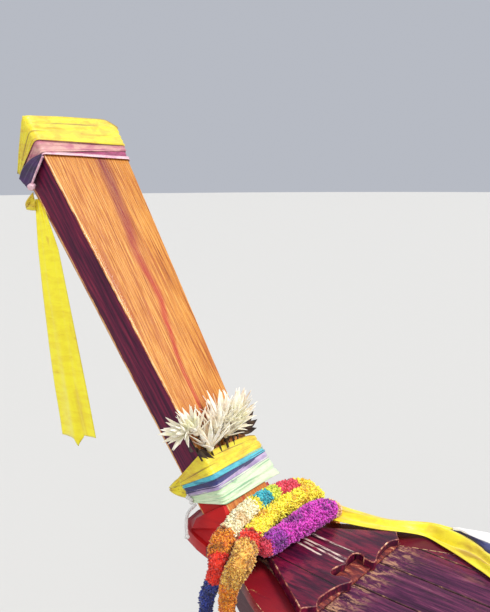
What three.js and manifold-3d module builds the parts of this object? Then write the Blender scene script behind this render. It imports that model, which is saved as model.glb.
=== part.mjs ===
// A wooden longtail boat with its engine and long propeller shaft.
// Millimetres, X forward, Y to port, Z up. The origin is on the centreline
// amidships, at the waterline.
import * as THREE from 'three';
import { mergeVertices } from 'three/addons/utils/BufferGeometryUtils.js';
import Module from 'manifold-3d';

const wasm = await Module();
wasm.setup();

const { lerp, degToRad } = THREE.MathUtils;
const V = (x, y, z) => new THREE.Vector3(x, y, z);

// Seating gap between pieces that touch, and the looser fit of what follows
// the curved planking.
const GAP = 0.4;
const FIT = 1.4;
const TWIST_FROM = 1300;
const TWIST_FIT = 0.003;

// Planks, keel and rails.
const PLANK = 30;
const KEEL_HALF = 45;
const KEEL_DEPTH = 70;
const RAIL_OUT = 16;
const RAIL_WIDE = 100;
const RAIL_THICK = 34;
const RAIL_END = 4;

// Stem: a board that leans forward and flares toward its top. Its foot is
// where its aft face meets the bow plate.
const STEM_FOOT = V(4600, 0, 1200);
const STEM_RAKE = degToRad(32);
const STEM_TOP = 1450;
const STEM_LOW = -1350;
const STEM_DEPTH = 115;
const STEM_HALF_LOW = KEEL_HALF;
const STEM_HALF_FOOT = 97;
const STEM_HALF_TOP = 195;
const STEM_CHAMFER = 14;
const HEAD_TOP = 1442;
const HEAD_FALL = 0.97;
const CHEEK_TOP = 118;
const CHEEK_THIN = 12;

// Bow plate and foredeck, which fall a little going aft.
const DECK_SLOPE = 0.11;
const PLATE_THICK = 30;
const FOREDECK_AFT = 2760;
const FOREDECK_FORE = 4555;

// Inside the hull.
const RIB = 45;
const RIB_FIRST = -3500;
const RIB_STEP = 610;
const RIB_COUNT = 11;
const FLOOR_TOP = -10;
const FLOOR_THICK = 22;
const FLOOR_AFT = -3300;
const FLOOR_FORE = 2350;
const SEAT_TOP = 330;
const SEAT_THICK = 30;
const SEAT_WIDE = 260;
const SEATS = [-1900, -750, 400, 1550];
const RISER = 36;
const BULKHEAD = 28;

// Canopy over the passengers.
const CANOPY_AFT = -2330;
const CANOPY_FORE = 1830;
const CANOPY_SIDE = 868;
const CANOPY_TOP = 1620;
const CANOPY_CROWN = 110;
const CANOPY_SKIRT = 120;
const CANOPY_RAIL_LOW = CANOPY_TOP - 44;
const POST_HALF = 24;
const POSTS = [-2200, -250, 1700];
const BOWS = [-2300, -1300, -250, 800, 1800];

// Stern deck, engine post and the two pivots of the engine.
const STERN_DECK_FORE = -3800;
const STERN_DECK_AFT = -4780;
const STERN_DECK_TOP = 690;
const STERN_DECK_THICK = 28;
const PIVOT_X = -4500;
const POST_TOP = 960;
const TILT_HEIGHT = 1150;
const TILT_REST = degToRad(20);
const YOKE_INSIDE = 206;
const YOKE_PLATE = 14;
const PIN_RADIUS = 20;

// Engine and tail, in the engine's own line: X along the crankshaft.
const FRAME_AFT = -380;
const FRAME_FORE = 860;
const FRAME_GAUGE = 170;
const BAR_HALF = 22;
const BAR_TALL = 30;
const CRANK_Z = 125;
const BLOCK_AFT = 80;
const BLOCK_FORE = 650;
const BLOCK_HALF = 140;
const BLOCK_TOP = 300;
const HEAD_HALF = 125;
const HEAD_TALL = 60;
const PORTS_LOW = 315;
const PORTS_HIGH = 350;
const FAN_RISE = 190;
const TUBE_RADIUS = 38;
const TAIL_END = -4080;
const PROP_RADIUS = 150;
const BLADES = 3;

const paint = (color, roughness, metalness = 0) =>
  new THREE.MeshStandardMaterial({ color, roughness, metalness });
const M = {
  hullPaint: paint('#5a1522', 0.55),
  redPaint: paint('#8c1710', 0.5),
  varnish: paint('#c8782e', 0.4),
  deckWood: paint('#6b3a40', 0.7),
  innerWood: paint('#b98a5c', 0.75),
  framePaint: paint('#e8e2d0', 0.5),
  tarpaulin: paint('#1f7fae', 0.8),
  iron: paint('#3c3f42', 0.6, 0.8),
  steel: paint('#9a9c9e', 0.4, 0.9),
  enginePaint: paint('#2d6b3c', 0.5, 0.2),
  bronze: paint('#a9824a', 0.35, 0.9),
  plastic: paint('#20242a', 0.6),
  yellowCloth: paint('#f2df1c', 0.8),
  bandCloth: paint('#cfe6c6', 0.8),
  flowers: paint('#f3ecd2', 0.8),
  garlandGold: paint('#f0a01e', 0.85),
  garlandPink: paint('#c52bb4', 0.85),
  cord: paint('#e9e4dc', 0.8),
};

const boat = new THREE.Group();

function add(name, geometry, material, parent = boat) {
  const piece = new THREE.Mesh(geometry, material);
  piece.name = name;
  parent.add(piece);
  return piece;
}

// A closed skin over rings of points, its ends capped.
function loft(rings) {
  const count = rings[0].length;
  const faces = [];
  for (let i = 0; i < rings.length - 1; i += 1) {
    const here = i * count;
    const next = (i + 1) * count;
    for (let j = 0; j < count; j += 1) {
      const k = (j + 1) % count;
      faces.push(here + j, here + k, next + k, here + j, next + k, next + j);
    }
  }
  const last = (rings.length - 1) * count;
  const cap = capFaces(rings[0]);
  for (const [a, b, c] of cap) faces.push(c, b, a, last + a, last + b, last + c);
  const geometry = new THREE.BufferGeometry();
  const flat = rings.flat().flatMap((p) => [p.x, p.y, p.z]);
  geometry.setAttribute('position', new THREE.Float32BufferAttribute(flat, 3));
  geometry.setIndex(volume(flat, faces) < 0 ? turned(faces) : faces);
  geometry.computeVertexNormals();
  return geometry;
}

// Triangles of a flat cap, worked out in the plane of its ring.
function capFaces(ring) {
  const normal = V(0, 0, 0);
  ring.forEach((p, i) => {
    const q = ring[(i + 1) % ring.length];
    normal.add(p.clone().sub(ring[0]).cross(q.clone().sub(ring[0])));
  });
  normal.normalize();
  const side = ring[1].clone().sub(ring[0]).normalize();
  const up = normal.clone().cross(side);
  const flat = ring.map((p) => new THREE.Vector2(p.dot(side), p.dot(up)));
  return THREE.ShapeUtils.triangulateShape(flat, []);
}

function turned(faces) {
  const back = [];
  for (let i = 0; i < faces.length; i += 3) back.push(faces[i], faces[i + 2], faces[i + 1]);
  return back;
}

function volume(flat, faces) {
  const corner = (i) => V(flat[3 * i], flat[3 * i + 1], flat[3 * i + 2]);
  let sum = 0;
  for (let i = 0; i < faces.length; i += 3) {
    sum += corner(faces[i]).dot(corner(faces[i + 1]).cross(corner(faces[i + 2])));
  }
  return sum;
}

// The same faces with shared corners merged.
function welded(geometry) {
  const bare = new THREE.BufferGeometry();
  bare.setAttribute('position', geometry.attributes.position);
  if (geometry.index) bare.setIndex(geometry.index);
  return mergeVertices(bare, 1e-3);
}

function solid(geometry) {
  const merged = welded(geometry);
  const vertProperties = new Float32Array(merged.attributes.position.array);
  const triVerts = new Uint32Array(merged.index.array);
  return new wasm.Manifold(new wasm.Mesh({ numProp: 3, vertProperties, triVerts }));
}

function shapeOf(body) {
  const mesh = body.getMesh();
  const geometry = new THREE.BufferGeometry();
  const at = new THREE.Float32BufferAttribute(mesh.vertProperties, 3);
  geometry.setAttribute('position', at);
  geometry.setIndex(Array.from(mesh.triVerts));
  geometry.computeVertexNormals();
  return geometry;
}

const fuse = (...list) => shapeOf(list.map(solid).reduce((a, b) => a.add(b)));
const cut = (from, ...tools) => (
  shapeOf(tools.map(solid).reduce((a, b) => a.subtract(b), solid(from))));

function box(x0, x1, y0, y1, z0, z1) {
  const shape = new THREE.BoxGeometry(x1 - x0, y1 - y0, z1 - z0);
  return shape.translate((x0 + x1) / 2, (y0 + y1) / 2, (z0 + z1) / 2);
}

function rod(from, to, radius, sides = 12, endRadius = radius) {
  const along = to.clone().sub(from);
  const shape = new THREE.CylinderGeometry(endRadius, radius, along.length(), sides);
  const turn = new THREE.Quaternion().setFromUnitVectors(V(0, 1, 0), along.normalize());
  const middle = from.clone().add(to).multiplyScalar(0.5);
  return shape.applyQuaternion(turn).translate(middle.x, middle.y, middle.z);
}

// A round bar bent along a smooth line through the points.
function bar(points, radius, { sides = 8, steps = 12 } = {}) {
  const line = new THREE.CatmullRomCurve3(points, false, 'centripetal');
  const turns = line.computeFrenetFrames(steps, false);
  const rings = [];
  for (let i = 0; i <= steps; i += 1) {
    const middle = line.getPointAt(i / steps);
    rings.push(Array.from({ length: sides }, (_, j) => {
      const angle = (j / sides) * 2 * Math.PI;
      return middle.clone()
        .addScaledVector(turns.normals[i], radius * Math.cos(angle))
        .addScaledVector(turns.binormals[i], radius * Math.sin(angle));
    }));
  }
  return loft(rings);
}

const mirror = (points) => points.map((p) => V(p.x, -p.y, p.z));
const wholeRing = (port) => [...port, ...mirror(port).reverse()];
const SIDES = [{ label: 'port', sign: 1 }, { label: 'starboard', sign: -1 }];
const onSide = (sign, points) => (sign > 0 ? points : mirror(points));
const turnedOver = (shape) => shapeOf(solid(shape).mirror([0, 1, 0]));

// Places along the stem: s runs up it from its foot, n runs forward from its
// aft face, y to port.
function onStem(s, n, y) {
  return V(
    STEM_FOOT.x + s * Math.sin(STEM_RAKE) + n * Math.cos(STEM_RAKE),
    y,
    STEM_FOOT.z + s * Math.cos(STEM_RAKE) - n * Math.sin(STEM_RAKE),
  );
}

function stemHalf(s) {
  if (s < 0) return lerp(STEM_HALF_FOOT, STEM_HALF_LOW, s / STEM_LOW);
  return lerp(STEM_HALF_FOOT, STEM_HALF_TOP, s / STEM_TOP);
}

// A block round the stem between two heights, its faces a margin outside the
// stem's own. Its top falls forward by that much for each millimetre.
function stemBlock(low, high, margin, fall = 0) {
  return loft([{ s: low, slope: 0 }, { s: high, slope: fall }].map(({ s, slope }) => (
    wholeRing([-margin, STEM_DEPTH + margin].map((n) => {
      const level = s - n * slope;
      return onStem(level, n, stemHalf(level) + margin);
    })))));
}

// Frames of the hull from stern to bow. Each is a leaning plane through a
// point of the rail and a point of the keel; full rounds the bilge and flare
// straightens the side. The last two lie along the stem.
const RAIL_AT_FACE = onStem(-93, -12, 0);
const RAIL_AT_FRONT = onStem(0, 105, 0);
const KEEL_AT_FACE = onStem(STEM_LOW, -12, 0);
const KEEL_AT_FRONT = onStem(STEM_LOW + 100, 105, 0);
const FRAMES = [
  { railX: -4900, railY: 600, railZ: 800, keelX: -4760, keelY: 45, keelZ: -70, full: 2.6, flare: 0.35 },
  { railX: -4000, railY: 765, railZ: 728, keelX: -3950, keelY: 45, keelZ: -200, full: 3.2, flare: 0.3 },
  { railX: -2600, railY: 880, railZ: 660, keelX: -2600, keelY: 45, keelZ: -275, full: 3.8, flare: 0.24 },
  { railX: -1000, railY: 925, railZ: 635, keelX: -1000, keelY: 45, keelZ: -290, full: 4, flare: 0.22 },
  { railX: 600, railY: 925, railZ: 675, keelX: 600, keelY: 45, keelZ: -290, full: 4, flare: 0.22 },
  { railX: 2000, railY: 870, railZ: 803, keelX: 1800, keelY: 45, keelZ: -285, full: 3.5, flare: 0.28 },
  { railX: 3100, railY: 740, railZ: 952, keelX: 2600, keelY: 45, keelZ: -255, full: 2.7, flare: 0.4 },
  { railX: 3800, railY: 560, railZ: 1045, keelX: 3150, keelY: 45, keelZ: -200, full: 2, flare: 0.55 },
  { railX: 4180, railY: 405, railZ: 1087, keelX: 3480, keelY: 45, keelZ: -130, full: 1.6, flare: 0.7 },
  { railX: 4400, railY: 292, railZ: 1111.5, keelX: 3700, keelY: 45, keelZ: -50, full: 1.3, flare: 0.8 },
  { railX: RAIL_AT_FACE.x, railY: 200, railZ: RAIL_AT_FACE.z,
    keelX: KEEL_AT_FACE.x, keelY: 45, keelZ: KEEL_AT_FACE.z, full: 1.2, flare: 1 },
  { railX: RAIL_AT_FRONT.x, railY: 148, railZ: RAIL_AT_FRONT.z,
    keelX: KEEL_AT_FRONT.x, keelY: 50, keelZ: KEEL_AT_FRONT.z, full: 1, flare: 1 },
];
const FINE = 3;
const HEIGHTS = [0, 0.07, 0.16, 0.28, 0.42, 0.7, 1];
const STRAKES = [
  { name: 'garboard', from: 0, to: 2 },
  { name: 'bilge_plank', from: 2, to: 4 },
  { name: 'topside_plank', from: 4, to: 6 },
];

// One value between two rows of the table, on a smooth curve through its
// neighbours.
function between(before, a, b, after, u) {
  const c1 = 0.5 * (b - before);
  const c2 = before - 2.5 * a + 2 * b - 0.5 * after;
  const c3 = 0.5 * (after - before) + 1.5 * (a - b);
  return a + u * (c1 + u * (c2 + u * c3));
}

function frameBetween(i, u) {
  const row = (k) => FRAMES[Math.min(Math.max(k, 0), FRAMES.length - 1)];
  const frame = {};
  for (const key of Object.keys(FRAMES[i])) {
    frame[key] = between(row(i - 1)[key], row(i)[key], row(i + 1)[key], row(i + 2)[key], u);
  }
  return frame;
}

// The outer and inner points of the planking on one frame, port side.
function section(frame) {
  const widen = (t) => (1 - frame.flare) * (1 - (1 - t) ** frame.full) + frame.flare * t;
  const place = (keelY) => HEIGHTS.map((t) => V(
    lerp(frame.keelX, frame.railX, t),
    lerp(keelY, frame.railY, widen(t)),
    lerp(frame.keelZ, frame.railZ, t),
  ));
  const inwardOf = (line) => line.map((p, k) => {
    const a = line[Math.max(k - 1, 0)];
    const b = line[Math.min(k + 1, line.length - 1)];
    return V(0, a.z - b.z, b.y - a.y).normalize();
  });
  const bevel = PLANK * inwardOf(place(frame.keelY))[0].y;
  const outer = place(frame.keelY + GAP - bevel);
  const inward = inwardOf(outer);
  const inner = outer.map((p, k) => p.clone().addScaledVector(inward[k], PLANK));
  inner[0].y = Math.max(inner[0].y, frame.keelY + GAP);
  inner.at(-1).z = frame.railZ;
  return { ...frame, outer, inner };
}

const stations = [];
for (let i = 0; i < FRAMES.length - 1; i += 1) {
  const parts = i < FRAMES.length - 2 ? FINE : 1;
  for (let k = 0; k < parts; k += 1) stations.push(section(frameBetween(i, k / parts)));
}
stations.push(section(FRAMES.at(-1)));

// A value along a line of points that runs forward.
function alongLine(points, x, key) {
  const found = points.findIndex((p) => p.x >= x);
  const i = found < 0 ? points.length - 1 : Math.max(found, 1);
  const [a, b] = [points[i - 1], points[i]];
  return lerp(a[key], b[key], (x - a.x) / (b.x - a.x));
}

// The inside of the planking where an upright plane cuts it, keel to rail.
function insideAt(x) {
  return HEIGHTS.map((_, k) => {
    const line = stations.map((s) => s.inner[k]);
    return V(x, alongLine(line, x, 'y'), alongLine(line, x, 'z'));
  });
}

// Half the width inside the planking at a place and height.
function halfInside(x, z, line = insideAt(x)) {
  const found = line.findIndex((p) => p.z >= z);
  const k = found < 0 ? line.length - 1 : Math.max(found, 1);
  const [a, b] = [line[k - 1], line[k]];
  return lerp(a.y, b.y, (z - a.z) / (b.z - a.z));
}

// The clearance of what is fitted to the planking, wider where it twists.
const fitAt = (x) => FIT + Math.max(0, x - TWIST_FROM) * TWIST_FIT;

// Keel, stem and planks.
function keel() {
  const rings = stations.filter((s) => s.keelX < KEEL_AT_FACE.x - 100).map((s) => wholeRing([
    V(s.keelX, KEEL_HALF, s.inner[0].z - GAP), V(s.keelX, KEEL_HALF, s.keelZ - KEEL_DEPTH),
  ]));
  const end = STEM_LOW - GAP;
  rings.push(wholeRing([onStem(end, 0, KEEL_HALF), onStem(end, STEM_DEPTH, KEEL_HALF)]));
  return loft(rings);
}

// The stem's head is cut off at a slope that falls forward.
function stem() {
  const rows = [{ s: STEM_LOW, slope: 0 }, { s: 0, slope: 0 }, { s: HEAD_TOP, slope: HEAD_FALL }];
  const edges = [[0, 0], [STEM_DEPTH - STEM_CHAMFER, 0], [STEM_DEPTH, STEM_CHAMFER]];
  return loft(rows.map(({ s, slope }) => wholeRing(edges.map(([n, inward]) => {
    const level = s - n * slope;
    return onStem(level, n, stemHalf(level) - inward);
  }))));
}

// Part of a section's line, drawn back from its neighbours by half a seam.
function stretch(line, from, to) {
  const points = line.slice(from, to + 1).map((p) => p.clone());
  const drawBack = (end, next) => end.lerp(next, (0.5 * GAP) / end.distanceTo(next));
  if (from > 0) drawBack(points[0], points[1]);
  if (to < line.length - 1) drawBack(points.at(-1), points.at(-2));
  return points;
}

// Each strake is two planks, butted amidships.
const BUTT = 11;
const HALVES = [
  { end: 'aft', rows: stations.slice(0, BUTT + 1), shift: -GAP / 2 },
  { end: 'fore', rows: stations.slice(BUTT), shift: GAP / 2 },
];

function strake({ from, to }, order, { rows, shift }, sign) {
  return loft(rows.map((s) => {
    const ring = [...stretch(s.outer, from, to), ...stretch(s.inner, from, to).reverse()];
    const placed = s === stations[BUTT] ? ring.map((p) => V(p.x + shift, p.y, p.z)) : ring;
    return onSide(sign, order % 2 ? placed.reverse() : placed);
  }));
}

function transom() {
  const { outer, keelX, keelZ } = stations[0];
  const port = [
    ...outer.slice().reverse(),
    V(keelX, KEEL_HALF, keelZ), V(keelX, KEEL_HALF, keelZ - KEEL_DEPTH),
  ];
  port[0] = port[0].clone().add(V(-5, 0, RAIL_THICK));
  const shift = (points, dx) => points.map((p) => V(p.x + dx, p.y, p.z));
  return loft([-GAP - 0.4, -42].map((dx) => shift(wholeRing(port), dx)));
}

// The rail caps follow the planks' top edge, as an outer and an inner line.
const sheer = stations.map((s) => V(s.railX, s.railY, s.railZ));
const railLines = stations.map((s, i) => {
  const a = stations[Math.max(i - 1, 0)];
  const b = stations[Math.min(i + 1, stations.length - 1)];
  const out = V(a.railY - b.railY, b.railX - a.railX, 0).normalize();
  const edge = (offset) => {
    const p = V(s.railX + (i ? 0 : RAIL_END), s.railY, 0).addScaledVector(out, offset);
    p.z = alongLine(sheer, p.x, 'z') + GAP;
    return p;
  };
  return { outer: edge(RAIL_OUT), inner: edge(RAIL_OUT - RAIL_WIDE) };
});
const railInner = railLines.map((r) => r.inner);
const railTop = (x) => alongLine(railInner, x, 'z') + RAIL_THICK;

function rail(sign) {
  const up = V(0, 0, RAIL_THICK);
  const whole = loft(railLines.map(({ outer, inner }) => onSide(sign, [
    outer, outer.clone().add(up), inner.clone().add(up), inner,
  ])));
  return cut(whole, stemBlock(-400, 300, GAP));
}

// The cheek fills the corner between the rail and the stem and wraps round to
// the stem's front, on a rim that carries the rail's line on to the centre.
const WRAP_FIT = 2 * GAP;
const STEM_FRONT_X = 4726;
const RIM_ROOT_X = 4715;
const stemFront = (s, y) => onStem(s, STEM_DEPTH + WRAP_FIT, y);
const levelAtFront = (z) => (
  (z - STEM_FOOT.z + (STEM_DEPTH + WRAP_FIT) * Math.sin(STEM_RAKE)) / Math.cos(STEM_RAKE));

function cheekBlock() {
  const middle = GAP / 2;
  const inner = (s) => stemHalf(s) + WRAP_FIT;
  const high = CHEEK_TOP;
  const top = [
    onStem(high, 2, inner(high)), onStem(high, 2, stemHalf(high) + CHEEK_THIN),
    onStem(high, STEM_DEPTH + CHEEK_THIN, stemHalf(high) + 8),
    onStem(high, STEM_DEPTH + CHEEK_THIN, 60), onStem(high, STEM_DEPTH + CHEEK_THIN, middle),
    stemFront(high, middle), stemFront(high, inner(high)),
  ];
  const [low, front] = [50, 80];
  const waist = [
    onStem(low, 2, inner(low)), onStem(low, 2, stemHalf(low) + 30),
    V(4775, 128, 1204), V(4800, 75, 1214), V(4808, middle, 1216),
    stemFront(front, middle), stemFront(front, inner(front)),
  ];
  const onRail = (x, y) => V(x, y, railTop(x) + GAP);
  const foot = levelAtFront(railTop(STEM_FRONT_X) + GAP);
  const base = [
    onRail(4588, 99), onRail(4588, 186), onRail(4792, 114), onRail(4828, 72), onRail(4842, middle),
    stemFront(foot, middle), stemFront(foot, inner(foot)),
  ];
  return loft([top, waist, base]);
}

function cheekRim() {
  const end = railLines.at(-1);
  const clear = V(WRAP_FIT, 0, 0);
  const plan = [
    end.outer.clone().add(clear), V(4742, 148, 0), V(4800, 121, 0), V(4838, 77, 0), V(4853, GAP / 2, 0),
  ];
  const rings = [2, -RAIL_THICK].map((rise) => {
    const s = levelAtFront(railTop(RIM_ROOT_X) + rise);
    const half = stemHalf(s) + WRAP_FIT;
    const along = (end.outer.y - half) / (end.outer.y - end.inner.y);
    const root = end.outer.clone().lerp(end.inner, along).add(clear);
    const edge = [root, ...plan].map((p) => V(p.x, p.y, railTop(p.x) + rise));
    return [...edge, stemFront(s, GAP / 2), stemFront(s, half)];
  });
  return loft(rings);
}

function cheek(sign) {
  const whole = fuse(cheekBlock(), cheekRim());
  return sign > 0 ? whole : turnedOver(whole);
}

// The bow plate: two carved lobes and a notch on its aft edge.
const PLATE_FORE_HALF = 92;
const PLATE_FLARE_X = -74;
const PLATE_AFT_X = -310;
const PLATE_HALF = 283;
function bowPlate() {
  const half = [
    { x: PLATE_AFT_X, y: PLATE_HALF },
    { x: -338, y: 243, midX: -320, midY: 262 },
    { x: -322, y: 180, midX: -316, midY: 215 },
    { x: -344, y: 80, midX: -326, midY: 110 },
    { x: -338, y: 62, midX: -347, midY: 66 },
    { x: -310, y: 64 },
    { x: -276, y: 66, midX: -290, midY: 94 },
    { x: -288, y: 0, midX: -272, midY: 36 },
  ];
  const outline = new THREE.Shape();
  outline.moveTo(10, -PLATE_FORE_HALF);
  outline.lineTo(10, PLATE_FORE_HALF);
  outline.lineTo(PLATE_FLARE_X, PLATE_FORE_HALF + 4);
  outline.lineTo(half[0].x, half[0].y);
  half.slice(1).forEach((p) => {
    if (p.midX) outline.quadraticCurveTo(p.midX, p.midY, p.x, p.y);
    else outline.lineTo(p.x, p.y);
  });
  for (let i = half.length - 1; i > 0; i -= 1) {
    const [p, q] = [half[i], half[i - 1]];
    if (p.midX) outline.quadraticCurveTo(p.midX, -p.midY, q.x, -q.y);
    else outline.lineTo(q.x, -q.y);
  }
  outline.lineTo(PLATE_FLARE_X, -PLATE_FORE_HALF - 4);
  const board = new THREE.ExtrudeGeometry(outline, {
    depth: PLATE_THICK, bevelEnabled: false, curveSegments: 5,
  });
  const { x, z } = STEM_FOOT;
  const whole = welded(board.translate(0, 0, 2 * GAP - PLATE_THICK));
  whole.rotateY(-Math.atan(DECK_SLOPE)).translate(x, 0, z);
  return cut(whole, stemBlock(-300, 300, GAP));
}

// The foredeck lies flush between the rails.
function foredeck() {
  const inDeck = (x) => x > FOREDECK_AFT + 20 && x < FOREDECK_FORE - 20;
  const places = railInner.map((p) => p.x).filter(inDeck);
  return loft([FOREDECK_AFT, ...places, FOREDECK_FORE].map((x) => {
    const half = alongLine(railInner, x, 'y') - GAP;
    return wholeRing([V(x, half, railTop(x)), V(x, half, railTop(x) - RAIL_THICK)]);
  }));
}

// A board across the hull that follows the inside of the planking.
function bulkhead({ x, top }) {
  const count = insideAt(x).filter((p) => p.z < top - 5).length;
  return loft([x, x + BULKHEAD].map((at) => {
    const line = insideAt(at);
    const edge = line.slice(0, count).map((p) => V(at, p.y - fitAt(at), p.z + fitAt(at)));
    edge.push(V(at, halfInside(at, top, line) - fitAt(at), top));
    return wholeRing(edge.reverse());
  }));
}

// Frames: floor timbers across the bottom on a keelson, and side timbers that
// stand on their ends, joined by the stringers that the seats rest on.
const FLOOR_LOW = FLOOR_TOP - FLOOR_THICK;
const TIMBER_TOP = FLOOR_LOW - GAP;
const TIMBERS = Array.from({ length: RIB_COUNT }, (_, i) => RIB_FIRST + i * RIB_STEP);
const TIMBER_ENDS = [TIMBERS[0] - 40, TIMBERS.at(-1) + 40];
const SIDE_GROUPS = [{ label: 'aft', from: 0, to: 6 }, { label: 'fore', from: 6, to: RIB_COUNT }];

function ribInside(x) {
  const line = insideAt(x);
  return line.map((p, k) => {
    const a = line[Math.max(k - 1, 0)];
    const b = line[Math.min(k + 1, line.length - 1)];
    const inward = V(0, a.z - b.z, b.y - a.y).normalize();
    return p.clone().addScaledVector(inward, RIB);
  });
}

const fitted = (x) => insideAt(x).map((p) => V(x, p.y - fitAt(x), p.z + fitAt(x)));

function floorTimber(x) {
  const count = fitted(x).filter((p) => p.z < TIMBER_TOP - 20).length;
  return loft([x - RIB / 2, x + RIB / 2].map((at) => {
    const line = fitted(at);
    const end = V(at, halfInside(at, TIMBER_TOP, line), TIMBER_TOP);
    return wholeRing([end, ...line.slice(0, count).reverse()]);
  }));
}

function floorTimbers() {
  const [half, rise, tall] = [40, 5, 60];
  const places = [TIMBER_ENDS[0], ...TIMBERS.slice(1, -1), TIMBER_ENDS[1]];
  const keelson = loft(places.map((x) => {
    const low = fitted(x)[0].z + rise;
    return wholeRing([V(x, half, low), V(x, half, low + tall)]);
  }));
  return fuse(keelson, ...TIMBERS.map(floorTimber));
}

function sideTimber(x, sign) {
  const foot = TIMBER_TOP + GAP;
  const count = fitted(x).filter((p) => p.z > foot + 20).length;
  return loft([x - RIB / 2, x + RIB / 2].map((at) => {
    const [outer, inner] = [fitted(at), ribInside(at)];
    outer.at(-1).z -= fitAt(at) + GAP;
    inner.at(-1).z = outer.at(-1).z;
    const [outFoot, inFoot] = [outer, inner].map((line) => V(at, halfInside(at, foot, line), foot));
    return onSide(sign, [
      outFoot, ...outer.slice(-count), ...inner.slice(-count).reverse(), inFoot,
    ]);
  }));
}

function stringer(from, to, sign) {
  const low = SEAT_TOP - SEAT_THICK - GAP - 50;
  const count = 10;
  const places = Array.from({ length: count + 1 }, (_, i) => lerp(from, to, i / count));
  return loft(places.map((x) => {
    const face = halfInside(x, low + 25) - RIB + 8;
    return onSide(sign, [
      V(x, face, low), V(x, face, low + 50), V(x, face - RISER, low + 50), V(x, face - RISER, low),
    ]);
  }));
}

function sideTimbers({ from, to }, sign) {
  const joint = (TIMBERS[5] + TIMBERS[6]) / 2;
  const ends = from ? [joint + GAP / 2, TIMBER_ENDS[1]] : [TIMBER_ENDS[0], joint - GAP / 2];
  return fuse(...TIMBERS.slice(from, to).map((x) => sideTimber(x, sign)), stringer(...ends, sign));
}

function floor() {
  const places = Array.from({ length: 13 }, (_, i) => lerp(FLOOR_AFT, FLOOR_FORE, i / 12));
  return loft(places.map((x) => {
    const half = halfInside(x, FLOOR_LOW, ribInside(x)) - 3 * GAP;
    return wholeRing([V(x, half, FLOOR_TOP), V(x, half, FLOOR_LOW)]);
  }));
}

function seat(x) {
  const low = SEAT_TOP - SEAT_THICK;
  const end = Math.min(...[-0.5, 0.5].map((k) => halfInside(x + k * SEAT_WIDE, low))) - 4;
  return box(x - SEAT_WIDE / 2, x + SEAT_WIDE / 2, -end, end, low, SEAT_TOP);
}

// Canopy: posts on the rails, a light frame of rails and bows, a tarpaulin.
const crown = (y) => CANOPY_TOP + CANOPY_CROWN * (1 - (y / CANOPY_SIDE) ** 2);
const ACROSS = [-1, -0.75, -0.5, -0.25, 0, 0.25, 0.5, 0.75, 1].map((k) => k * CANOPY_SIDE);

function post(x, sign) {
  const y = sign * CANOPY_SIDE;
  return box(x - POST_HALF, x + POST_HALF, y - POST_HALF, y + POST_HALF,
    Math.max(railTop(x - POST_HALF), railTop(x + POST_HALF)) + GAP, CANOPY_RAIL_LOW + 10);
}

function canopyBow(x) {
  const [half, tall] = [20, 30];
  return loft(ACROSS.map((y) => [
    V(x - half, y, crown(y)), V(x + half, y, crown(y)),
    V(x + half, y, crown(y) - tall), V(x - half, y, crown(y) - tall),
  ]));
}

function canopyFrame() {
  const high = CANOPY_TOP - 12;
  const sideRails = SIDES.map(({ sign }) => {
    const y = sign * CANOPY_SIDE;
    return box(CANOPY_AFT + 10, CANOPY_FORE - 10, y - 28, y + 28, CANOPY_RAIL_LOW, high);
  });
  const posts = POSTS.flatMap((x) => SIDES.map(({ sign }) => post(x, sign)));
  return fuse(...BOWS.map(canopyBow), ...sideRails, ...posts);
}

function canopySheet() {
  const thick = 10;
  const edge = CANOPY_SIDE + 30;
  const skirt = CANOPY_TOP - CANOPY_SKIRT;
  const over = ACROSS.map((y) => ({ y, z: crown(y) + GAP }));
  const upper = [
    { y: -edge - thick, z: skirt }, { y: -edge - thick, z: CANOPY_TOP + 2 },
    ...over.map(({ y, z }) => ({ y, z: z + thick })),
    { y: edge + thick, z: CANOPY_TOP + 2 }, { y: edge + thick, z: skirt },
  ];
  const lower = [
    { y: edge, z: skirt }, { y: edge, z: CANOPY_TOP - 4 },
    ...over.slice().reverse(),
    { y: -edge, z: CANOPY_TOP - 4 }, { y: -edge, z: skirt },
  ];
  const outline = [...upper, ...lower];
  return loft([CANOPY_AFT, CANOPY_FORE].map((x) => outline.map((p) => V(x, p.y, p.z))));
}

// Stern: deck, bulkhead, engine post and swivel yoke.
function sternDeck() {
  const places = [STERN_DECK_AFT, -4500, -4150, STERN_DECK_FORE];
  const low = STERN_DECK_TOP - STERN_DECK_THICK;
  return loft(places.map((x) => {
    const half = halfInside(x, low) - 3;
    return wholeRing([V(x, half, STERN_DECK_TOP), V(x, half, low)]);
  }));
}

function enginePost() {
  const foot = STERN_DECK_TOP + GAP;
  return fuse(
    box(PIVOT_X - 150, PIVOT_X + 150, -150, 150, foot, foot + 40),
    box(PIVOT_X - 75, PIVOT_X + 75, -75, 75, foot + 20, POST_TOP),
  );
}

function yoke() {
  const low = POST_TOP + GAP;
  const arm = (sign) => {
    const [a, b] = [YOKE_INSIDE, YOKE_INSIDE + YOKE_PLATE].map((y) => sign * y);
    const [near, far] = [Math.min(a, b), Math.max(a, b)];
    const upright = box(PIVOT_X - 45, PIVOT_X + 45, near, far, low + 20, TILT_HEIGHT);
    return fuse(upright, rod(V(PIVOT_X, a, TILT_HEIGHT), V(PIVOT_X, b, TILT_HEIGHT), 45, 20));
  };
  const out = YOKE_INSIDE + YOKE_PLATE;
  const base = fuse(
    rod(V(PIVOT_X, 0, low), V(PIVOT_X, 0, low + 12), 70, 24),
    box(PIVOT_X - 60, PIVOT_X + 60, -out, out, low + 10, low + 26),
  );
  const ends = [-400, 400].map((y) => V(PIVOT_X, y, TILT_HEIGHT));
  return cut(fuse(base, arm(1), arm(-1)), rod(...ends, PIN_RADIUS + 2 * GAP, 20));
}

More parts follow.
